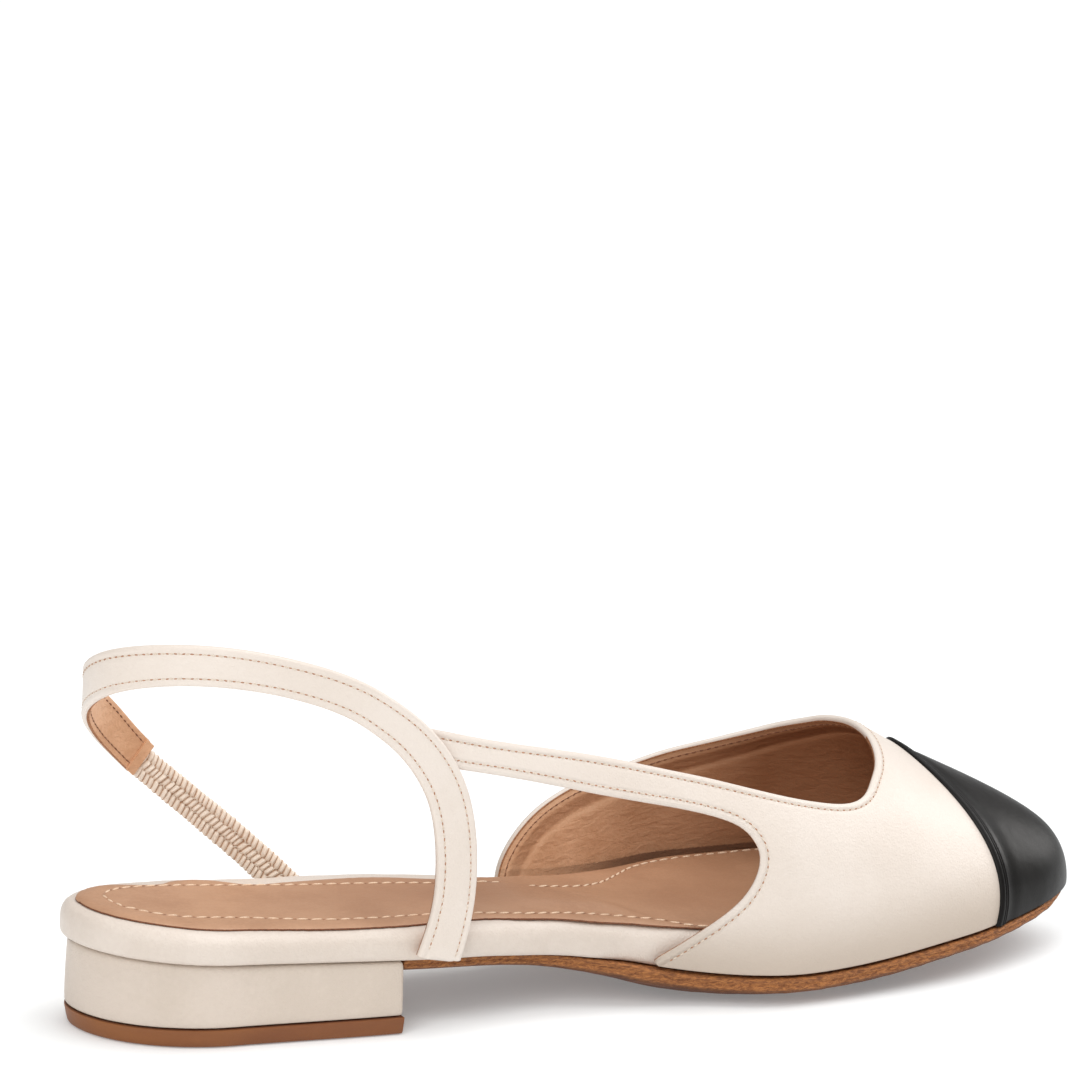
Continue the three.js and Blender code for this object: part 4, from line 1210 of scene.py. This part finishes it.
ELASTIC = (
    (26.06, 24.12, 53.94, 168, 7.4), (32.2, 25.0, 48.4, 174, 7.4), (41.9, 24.4, 39.65, 179, 7.3),
    (53.1, 23.0, 29.5, 182, 7.3), (59.2, 22.1, 23.7, 182, 7.4), (64.2, 21.8, 18.9, 181, 7.4),
)


def band_frame(rows, per_span):
    """Middle line of a band with the direction out of its face, the one across it and its width."""
    rows = np.array(rows, float)
    line, number = smooth_line(rows[:, :3], per_span)
    table = {"x": range(len(rows)), "face": rows[:, 3], "width": rows[:, 4]}
    face, width = np.radians(reading(table, "face")(number)), reading(table, "width")(number)
    line = np.stack([softened(c, per_span * 0.35) for c in line.T], -1)
    along = np.gradient(line, axis=0)
    along /= np.linalg.norm(along, axis=1, keepdims=True)
    out = np.stack([-np.sin(face), -np.cos(face), 0 * face], -1)
    out -= along * (out * along).sum(1, keepdims=True)
    out /= np.linalg.norm(out, axis=1, keepdims=True)
    return line, along, out, np.cross(along, out), width


def swept(rows_at, section):
    """Places of a section carried along a band; the section gives (across, out) for a half width."""
    line, along, out, across, width = rows_at
    rows = []
    for i in range(len(line)):
        a, b = section(width[i] / 2, i)
        rows.append(line[i] + across[i] * a[:, None] + out[i] * b[:, None])
    return np.array(rows)


# %% Strap
FACE_EDGE = np.array([(0.0, 0.75), (0.1, 0.38), (0.3, 0.14), (0.65, 0.0), (1.0, 0.03),
                      (1.6, 0.11), (1.85, 0.15), (2.1, 0.1), (2.45, 0.03), (3.1, 0.0)])
BACK_EDGE = np.array([(0.02, 1.25), (0.1, 1.34), (0.14, 1.62), (0.24, 1.86), (0.5, 1.97), (1.3, 2.0)])


def strap_section(half, row):
    face = np.r_[-half + FACE_EDGE[:, 0], half - FACE_EDGE[::-1, 0]]
    face_out = 1 - np.r_[FACE_EDGE[:, 1], FACE_EDGE[::-1, 1]]
    back = np.r_[half - BACK_EDGE[:, 0], -half + BACK_EDGE[::-1, 0]]
    back_out = 1 - np.r_[BACK_EDGE[:, 1], BACK_EDGE[::-1, 1]]
    return np.r_[face, back], np.r_[face_out, back_out]


RAISED_BEHIND = 0.4
WIDER = 0.35
END_NARROWED = 1.1
END_DROPPED = 0.45
line, along, out, across, width = band_frame(SLING, 14)
last_part = ease(0.9, 1.0, np.linspace(0, 1, len(line)))
drop = -END_DROPPED * np.sign(across[:, 2:]) * last_part[:, None]
lift = RAISED_BEHIND * (1 - ease(55, 66, line[:, :1])) * (0, 0, 1)
strap_rows = (line + across * drop + lift, along, out, across, width + WIDER - END_NARROWED * last_part)
face_count = 2 * len(FACE_EDGE)
edge_bits = len(BACK_EDGE) - 2


def strap_finish(u, v):
    """Cream on the face, the cut edge beside the back, and lining on the back."""
    if u < face_count:
        return CREAM
    back, last = u - face_count, 2 * len(BACK_EDGE) - 1
    if back >= last:
        return CREAM
    return CUT if 0 < back < edge_bits - 1 or last + 1 - edge_bits < back < last else TAN


strap_places = swept(strap_rows, strap_section)
under_rim = np.clip(seat(strap_places[..., 0]) + 0.5 - strap_places[..., 2], 0, None)
strap_places[..., 1] += 1.1 * under_rim
strap_places[..., 2] += 0.86 * under_rim
strap_away = np.r_[FACE_EDGE[:, 0], FACE_EDGE[::-1, 0], BACK_EDGE[:, 0], BACK_EDGE[::-1, 0]] + 9.0
heel_strap = lofted("heel_strap", strap_places, [cream, lining, lining_edge], strap_finish,
                    measures=(("edge_mm", strap_away[None, :]), ("above_sock", 50.0),
                              ("above_sole", 50.0)))
fill_ends(heel_strap)
shaded(heel_strap, 55)
strap_length = np.linalg.norm(np.diff(strap_rows[0], axis=0), axis=1).sum()
print("heel strap: %.0f mm long" % strap_length)

# %% [markdown]
# ## Gathered elastic and its tab
#
# The elastic is covered with thin cream leather, sewn while the elastic was stretched.
# Let go, the cover stands up in small gathers, and two rows of stitches pull it down between them.
# A band is swept again, but now its thickness swells and falls along its length,
# and the swelling slants one way or the other in each of the three lanes.

# %% Elastic
GATHERS = 36
LANES = 3
CORE = 0.45
GATHER = 0.72
line, along, out, across, width = band_frame(ELASTIC, 74)
near_strap = 1 - ease(0, 0.6, np.linspace(0, 1, len(line)))
elastic_rows = (line - near_strap[:, None] * (0, 0, 0.9), along, out, across, width - 0.5 * near_strap)
along_elastic = np.r_[0, np.cumsum(np.linalg.norm(np.diff(elastic_rows[0], axis=0), axis=1))]
dice = np.random.default_rng(7)
gather_size = 0.6 + 0.7 * dice.random(GATHERS + 2)
gather_at = np.cumsum(0.55 + 0.9 * dice.random((LANES, GATHERS + 1)), axis=1)
gather_at = (gather_at - gather_at[:, :1]) / (gather_at[:, -1:] - gather_at[:, :1])
ACROSS = 31


def gathers(share, across):
    """How high the cover stands, from 0 in a fold to 1 on a gather."""
    lane = np.clip((across + 1) / 2 * LANES, 0, LANES - 1e-6)
    in_lane = lane - np.floor(lane)
    steps = np.linspace(0, 1, GATHERS + 1)
    even = 0.5 * share + 0.5 * np.array([np.interp(share, gather_at[int(k)], steps) for k in lane])
    slant = np.where(np.floor(lane) % 2 == 0, in_lane, 1 - in_lane) * 0.45
    number = even * GATHERS + slant
    wave = 0.5 - 0.5 * np.cos(2 * math.pi * number)
    pinch = 1 - 0.6 * np.exp(-((np.minimum(in_lane, 1 - in_lane) / 0.14) ** 2)) * (np.abs(across) < 0.85)
    return wave**0.6 * pinch * gather_size[np.clip(number, 0, GATHERS).astype(int)]


elastic_depth = []


def elastic_section(half, row):
    share = along_elastic[row] / along_elastic[-1]
    across = np.linspace(-1, 1, ACROSS)
    rise_face, rise_back = gathers(share, across), gathers(share + 0.3 / GATHERS, across)
    round_off = np.sqrt(np.clip(1 - np.abs(across) ** 5, 0, 1))
    edge_swell = 1 + 0.07 * (rise_face[0] - 0.4)
    a = np.r_[across, across[::-1]] * half * edge_swell
    face = (CORE + GATHER * rise_face) * round_off + 0.05
    back = -(CORE + GATHER * rise_back[::-1]) * round_off - 0.05
    elastic_depth.append(1 - np.r_[rise_face, rise_back[::-1]])
    return a, np.r_[face, back]


elastic_places = swept(elastic_rows, elastic_section)
elastic = lofted("gathered_elastic", elastic_places, [gathered],
                 measures=(("depth", np.array(elastic_depth)),))
fill_ends(elastic)
shaded(elastic, 80)

# %% [markdown]
# Where the strap ends, its lining is folded over the elastic as a short tab, sewn across.
# It is a small swept band that lies on the inner face of the strap's last few millimetres.

# %% Tab
TAB_WIDTH = 8.3
TAB_ON_STRAP, TAB_ON_ELASTIC = 1.9, 1.1
TAB_STEPS = 40
line, along, out, across, width = band_frame(SLING[-2:] + (ELASTIC[1],), TAB_STEPS)
reach = np.r_[0, np.cumsum(np.linalg.norm(np.diff(line, axis=0), axis=1))]
join = reach[TAB_STEPS]
chosen = (reach > join - TAB_ON_STRAP) & (reach < join + TAB_ON_ELASTIC)
lower = -END_DROPPED * np.sign(across[:, 2:])
tab_frame = ((line - out * 1.25 + across * lower)[chosen], along[chosen], out[chosen], across[chosen],
             np.full(chosen.sum(), TAB_WIDTH))


def tab_section(half, row):
    a = np.array([-1, -1, -0.96, -0.5, 0, 0.5, 0.96, 1, 1, 0.96, 0, -0.96]) * half
    b = np.array([-0.15, 0.15, 0.3, 0.33, 0.33, 0.33, 0.3, 0.15, -0.15, -0.3, -0.3, -0.3])
    return a, b


tab = lofted("elastic_tab", swept(tab_frame, tab_section), [lining],
             measures=(("edge_mm", 12.0), ("above_sock", 50.0)))
fill_ends(tab)
shaded(tab, 60)

# %% [markdown]
# ## Toe cap
#
# The cap is a separate piece of black calf over the front of the vamp. Its back edge is a folded band:
# it curls down on to the cream, stands proud, and has fine creases beside the fold.
# The open sheet is laid on the last and given its thickness with Solidify.

# %% Toe cap
CAP_ROWS = np.array([0, 0.02, 0.08, 0.2, 0.4, 0.7, 1.0, 1.25, 1.45, 1.65, 1.9, 2.1, 2.3, 2.5,
                     2.75, 3.0, 3.3, 3.7, 4.2, 4.9, 5.8])
cap_turns = np.linspace(-1, 1, 161)
seam_at = np.full(len(cap_turns), SEAM_FRONT)
for _ in range(60):
    seam_at = seam_x(last_point(seam_at, cap_turns)[..., 2])
seam_line = np.gradient(last_point(seam_at, cap_turns), axis=0)
ahead = last_point(seam_at + 0.5, cap_turns) - last_point(seam_at, cap_turns)
straight = np.linalg.norm(np.cross(seam_line, ahead), axis=1) / np.linalg.norm(seam_line, axis=1)
spread = softened(0.5 / straight, 3)
band_xs = seam_at[None, :] + (CAP_ROWS - 0.25)[:, None] * spread[None, :]
to_tip = np.sin(np.linspace(0, math.pi / 2, 46)[1:])[:, None]
tail_xs = band_xs[-1] + (SOLE_LENGTH - band_xs[-1]) * to_tip
xs = np.vstack([band_xs, tail_xs])
distance = np.r_[CAP_ROWS, CAP_ROWS[-1] + 30 * to_tip[:, 0]]
cap_skin = soothed(last_point(xs, cap_turns[None, :]))
cap_away = outward(cap_skin)
cap_away[-1] = cap_away[-2] * (1, 0, 1)
cap_away[-1] /= np.linalg.norm(cap_away[-1], axis=1, keepdims=True)


def cap_height(d, turn):
    """How far the cap stands out of the last at a distance from its seam."""
    fold = -0.7 + 1.05 * ease(0, 0.06, d) + 0.55 * ease(0.02, 0.55, d)
    creases = sum(-depth * np.exp(-((d - at) / 0.16) ** 2) for at, depth in ((1.45, 0.3), (2.1, 0.26)))
    down = -0.5 * ease(2.45, 3.2, d)
    trough = -0.5 * np.exp(-((d - 4.7) / 1.5) ** 2) * (0.7 + 0.3 * np.cos(3 * turn))
    return fold + creases + down + trough


cap_places = cap_skin + cap_away * cap_height(distance[:, None], cap_turns[None, :])[..., None]
toe_cap = lofted("toe_cap_leather", cap_places, [black], round_section=False,
                 measures=(("seam_mm", distance[:, None]),))
only(toe_cap)
shell = toe_cap.modifiers.new("thickness", "SOLIDIFY")
shell.thickness, shell.offset = 0.8 * MM, -1
bpy.ops.object.modifier_apply(modifier=shell.name)
shaded(toe_cap, 55)

# %% [markdown]
# ## Stitches
#
# One stitch is modelled, a short bead of thread with its ends sunk in two needle holes,
# and then copied along every sewn line. Each copy gets a small twist of its own,
# because a row of equal stitches looks printed. The copies of one seam are written as one mesh
# from arrays, because hundreds of copied objects would take minutes to join.


# %% One stitch
def small_ball(size, segments, rings):
    """A sphere primitive squeezed to a size in millimetres, as arrays, and then removed."""
    bpy.ops.object.select_all(action="DESELECT")
    bpy.ops.mesh.primitive_uv_sphere_add(segments=segments, ring_count=rings, radius=1)
    ball = bpy.context.active_object
    bpy.ops.transform.resize(value=size)
    bpy.ops.object.transform_apply(location=False, rotation=False, scale=True)
    places, sides = corners(ball), [list(face.vertices) for face in ball.data.polygons]
    bpy.data.meshes.remove(ball.data)
    return places, sides


def even_points(line, pitch, start=0.5):
    """Places and directions one pitch apart along a line."""
    at = np.r_[0, np.cumsum(np.linalg.norm(np.diff(line, axis=0), axis=1))]
    count = int((at[-1] - start) / pitch)
    where = start + pitch * (np.arange(count) + 0.5)
    point = lambda w: np.stack([np.interp(w, at, c) for c in line.T], -1)
    way = point(np.minimum(where + 0.4, at[-1])) - point(np.maximum(where - 0.4, 0))
    return point(where), way / np.maximum(np.linalg.norm(way, axis=1, keepdims=True), 1e-9)


def sew(name, rows, pitch, length, finishes, thick=0.17, hole=(0.42, 0.19), slant=0.0, seed=3):
    """Stitches along rows of (line, normals): a bead of thread between needle holes."""
    bead, bead_faces = small_ball((length / 2, thick * 1.15, thick), 8, 6)
    dot, dot_faces = small_ball((*hole, 0.07), 8, 4)
    random = np.random.default_rng(seed)
    places, faces, which = [], [], []
    total = 0
    for line, normal_of in rows:
        points, ways = even_points(line, pitch)
        for number, (point, way) in enumerate(zip(points, ways)):
            up = normal_of(point)
            side = np.cross(up, way)
            side /= np.linalg.norm(side)
            way = np.cross(side, up)
            lean = 0.09 * random.standard_normal() + slant * (-1) ** number
            turned = way * math.cos(lean) + side * math.sin(lean)
            crossed = np.cross(up, turned)
            for shape, sides, middle, kind in (
                (bead, bead_faces, point + up * 0.02, 0),
                (dot, dot_faces, point + way * pitch / 2, 1),
            ):
                stretch = 1 + 0.06 * random.standard_normal()
                basis = np.stack([turned * stretch, crossed, up])
                places.append(middle + shape @ basis)
                faces += [[k + total for k in side_] for side_ in sides]
                which += [kind] * len(sides)
                total += len(shape)
    piece = from_arrays(name, np.vstack(places), faces, finishes, which)
    print(name, "has", len(which) // (len(bead_faces) + len(dot_faces)), "stitches")
    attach(piece, "root")
    return piece


# %% [markdown]
# The upper's stitch lines run 1.8 mm inside its folded edges. They are found by stepping in from the edge
# and dropping each step on to the wall, once on the cream side and once on the lining side.
# The strap's lines follow its two troughs, and the sock's lines come from their tables.

# %% Sewn lines
wall_tree = BVHTree.FromPolygons([tuple(p) for p in outer_skin], faces)
inner_places = outer_skin - out_of_skin * thickness
inner_tree = BVHTree.FromPolygons([tuple(p) for p in inner_places], [face[::-1] for face in faces])


def dropped(tree):
    """The direction out of a surface at the nearest place on it."""
    return lambda point: np.array(tree.find_nearest(Vector(point))[1])


def stitch_runs(inset, tree):
    """Lines inset from the sewn edges, broken where an edge isn't sewn."""
    runs = []
    for loop, ring, side in sewn_rims:
        sewn_here = np.array([tops[k][0] < tops[k][1] and ring[m][0] > 72.5
                              and ring[m][2] > seat(ring[m][0]) + 2.2 for m, k in enumerate(loop)])
        start = int(np.argmin(sewn_here))
        order = np.r_[start : len(loop), 0:start]
        run = []
        for m in order:
            if sewn_here[m]:
                run.append(np.array(tree.find_nearest(Vector(ring[m] - side[m] * inset))[0]))
            else:
                runs.append(run)
                run = []
        runs.append(run)
    return [tidy_line(np.array(run)) for run in runs if len(run) > 8]


def tidy_line(line):
    """The same line with even steps and without small jitters."""
    steps = np.linalg.norm(np.diff(line, axis=0), axis=1)
    keep = np.r_[True, steps > 1e-4]
    line = line[keep]
    at = np.r_[0, np.cumsum(np.linalg.norm(np.diff(line, axis=0), axis=1))]
    fine = np.arange(0, at[-1], 0.3)
    even = np.stack([np.interp(fine, at, c) for c in line.T], -1)
    return np.stack([softened(c, 4) for c in even.T], -1) if len(even) > 30 else even


def beside(band, apart, face, lift, first):
    """Two lines on a band, one on each side of its middle, on its front (face 1) or its back (-1)."""
    line, along, out, across, width = band
    runs = []
    for side in (-1, 1):
        at = (line + across * (side * apart(width))[:, None] + out * (face * lift))[first:]
        up = face * out[first:]
        runs.append((at, lambda p, at=at, up=up: up[np.argmin(((at - p) ** 2).sum(1))]))
    return runs


# %% [markdown]
# Cream thread shows on the cream leather and brown thread on the lining, both with the same pitch.
# The sock has longer and thicker stitches, and the elastic has two zigzag rows between its lanes.

# %% Sewing
PITCH = 1.85
cream_seam, brown_seam = [cream_thread, hole_shade], [brown_thread, hole_shade]
sew("upper_stitches", [(run, dropped(wall_tree)) for run in stitch_runs(1.3, wall_tree)], PITCH, 1.0,
    cream_seam)
sew("lining_stitches", [(run, dropped(inner_tree)) for run in stitch_runs(1.35, inner_tree)], PITCH, 1.2,
    brown_seam, thick=0.15)
sew("strap_stitches", beside(strap_rows, lambda width: width / 2 - 1.85, 1, 0.86, 3), PITCH, 1.0,
    cream_seam)
sew("strap_lining_stitches", beside(strap_rows, lambda width: width / 2 - 1.5, -1, 1.0, 60), PITCH, 1.25,
    brown_seam, thick=0.15)
sock_runs = []
for table in (NEAR_STITCH, FAR_STITCH):
    flat = sock_line(table)
    places = np.c_[flat, bed(flat[:, 0]) + SOCK_TOP + pad_lift(flat[:, 0], flat[:, 1])]
    sock_runs.append((places, lambda p: np.array([0.0, 0.0, 1.0])))
sew("sock_stitches", sock_runs, 3.3, 2.6, [pale_thread, hole_shade],
    thick=0.24, hole=(0.3, 0.2))
sew("elastic_stitches", beside(elastic_rows, lambda width: width / 6, -1, 0.78, 60), 1.1, 1.2,
    cream_seam, thick=0.13, hole=(0.16, 0.14), slant=0.75)

# %% [markdown]
# ## Every piece rides on the shoe
#
# The shoe has no joints, so there is one body, and every piece rides on it.
# A piece that was made again finer replaces its solid, which is hidden. Each row also lists the record's
# material the piece takes after, which the loop doesn't use.

# %% Riding and replacing
for piece, node, slot in (
    (top_piece, "top_piece", "tan_sole"),
    (heel_block, "heel_block", "cream_leather"),
    (outsole, "outsole", "tan_sole"),
    (footbed, "footbed", "cream_leather"),
    (sock, "sock", "tan_lining"),
    (upper, "upper", "cream_leather"),
    (heel_strap, None, "cream_leather"),
    (elastic, "elastic", "elastic_cloth"),
    (tab, None, "tan_lining"),
    (toe_cap, "toe_cap", "black_leather"),
):
    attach(piece, "root")
    if node:
        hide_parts(node)
shown = [thing for thing in bpy.context.scene.objects if thing.type == "MESH" and not thing.hide_render]
print("pieces shown:", len(shown))

# %% [markdown]
# ## Floor, light and camera
#
# A product photo has a white floor without a horizon and light from large soft boxes.
# The floor is one wide plane that glows faintly, as paper lit from below does, and stays white far away.
# A pale sky fills every shadow a little. A ceiling of light, so wide and far that it lights
# the whole floor evenly, gives the soft shadow under the arch.
# Two boxes shape the leather and the cap's shine.

# %% Floor and light
FLOOR_SIZE = 14
bpy.ops.object.select_all(action="DESELECT")
bpy.ops.mesh.primitive_plane_add(size=FLOOR_SIZE, location=(0, 0, -0.2 * MM))
floor = bpy.context.active_object
floor.name = "floor"
paper = Finish("white_paper")
fibre = paper.noise(30, detail=2)
tone = paper.colours((0.80, 0.815, 0.82, 1), (0.79, 0.805, 0.81, 1), fibre)
glow = {"Emission_Color": (1, 1, 1, 1), "Emission_Strength": 0.2}
floor.data.materials.append(paper.done(Base_Color=tone, Roughness=0.9, **glow))

world = bpy.data.worlds.new("pale_sky")
world.use_nodes = True
sky = world.node_tree.nodes["Background"].inputs
sky["Color"].default_value, sky["Strength"].default_value = (1.0, 0.99, 0.98, 1), 0.38
bpy.context.scene.world = world
MIDDLE = Vector((0.09, 0.0, 0.03))


def lamp_from(name, kind, place, aim, power):
    """A lamp that shines from a place towards an aim."""
    lamp = bpy.data.objects.new(name, bpy.data.lights.new(name, kind))
    lamp.data.energy, lamp.location = power, place
    lamp.rotation_euler = (aim - Vector(place)).to_track_quat("-Z", "Y").to_euler()
    bpy.context.scene.collection.objects.link(lamp)
    return lamp.data


def soft_box(name, place, width, height, power, tint):
    """A rectangular lamp that faces the middle of the shoe."""
    lamp = lamp_from(name, "AREA", place, MIDDLE, power)
    lamp.shape, lamp.size, lamp.size_y, lamp.color = "RECTANGLE", width, height, tint


ceiling = lamp_from("ceiling_of_light", "SUN", (0.42, -0.06, 1.0), Vector((0, 0, 0)), 2.2)
ceiling.angle = math.radians(66)
soft_box("left_box", (-0.75, -0.85, 0.9), 0.8, 0.8, 9.5, (1.0, 0.992, 0.985))
soft_box("right_box", (1.1, 0.2, 0.36), 0.42, 0.3, 2.0, (1.0, 0.98, 0.96))
bpy.context.scene.view_settings.view_transform = "Standard"
print("lamps:", len(bpy.data.lights))

# %% [markdown]
# The camera's place was worked out from the outlines of the shoe in the photograph.
# It stands two metres away with a long lens, looks from behind and the outer side,
# and is rolled by about two degrees. It aims a little above the shoe, as the photograph does,
# so no lens shift is needed.

# %% Camera
CAMERA_TURN, CAMERA_RISE, CAMERA_ROLL = (math.radians(a) for a in (-25.29, 15.92, 2.28))
CAMERA_AWAY = 2.0
FOCAL_IN_PIXELS = 8736.4
FRAME_PIXELS = 1080
SEEN_AT = (578.15, 850.85)
target = Vector(((125 - ORIGIN_AHEAD) * MM, 0, 0.030))
back = Vector((math.sin(CAMERA_TURN) * math.cos(CAMERA_RISE),
               -math.cos(CAMERA_TURN) * math.cos(CAMERA_RISE), math.sin(CAMERA_RISE)))
right = Vector((math.cos(CAMERA_TURN), math.sin(CAMERA_TURN), 0))
up = back.cross(right)
rolled_right = right * math.cos(CAMERA_ROLL) + up * math.sin(CAMERA_ROLL)
rolled_up = up * math.cos(CAMERA_ROLL) - right * math.sin(CAMERA_ROLL)
aim = (-back * FOCAL_IN_PIXELS + rolled_right * (FRAME_PIXELS / 2 - SEEN_AT[0])
       + rolled_up * (SEEN_AT[1] - FRAME_PIXELS / 2)).normalized()
camera_back = -aim
camera_right = rolled_up.cross(camera_back).normalized()
camera_up = camera_back.cross(camera_right)
place = target + back * CAMERA_AWAY
lens = bpy.data.cameras.new("portrait_lens")
lens.sensor_width = 36
lens.lens = FOCAL_IN_PIXELS * 36 / FRAME_PIXELS / aim.dot(-back)
lens.clip_start, lens.clip_end = 0.1, 60
camera = bpy.data.objects.new("portrait_camera", lens)
turned = Matrix((camera_right, camera_up, camera_back)).transposed().to_4x4()
camera.matrix_world = Matrix.Translation(place) @ turned
bpy.context.scene.collection.objects.link(camera)
bpy.context.scene.camera = camera
print("lens: %.1f mm" % lens.lens)
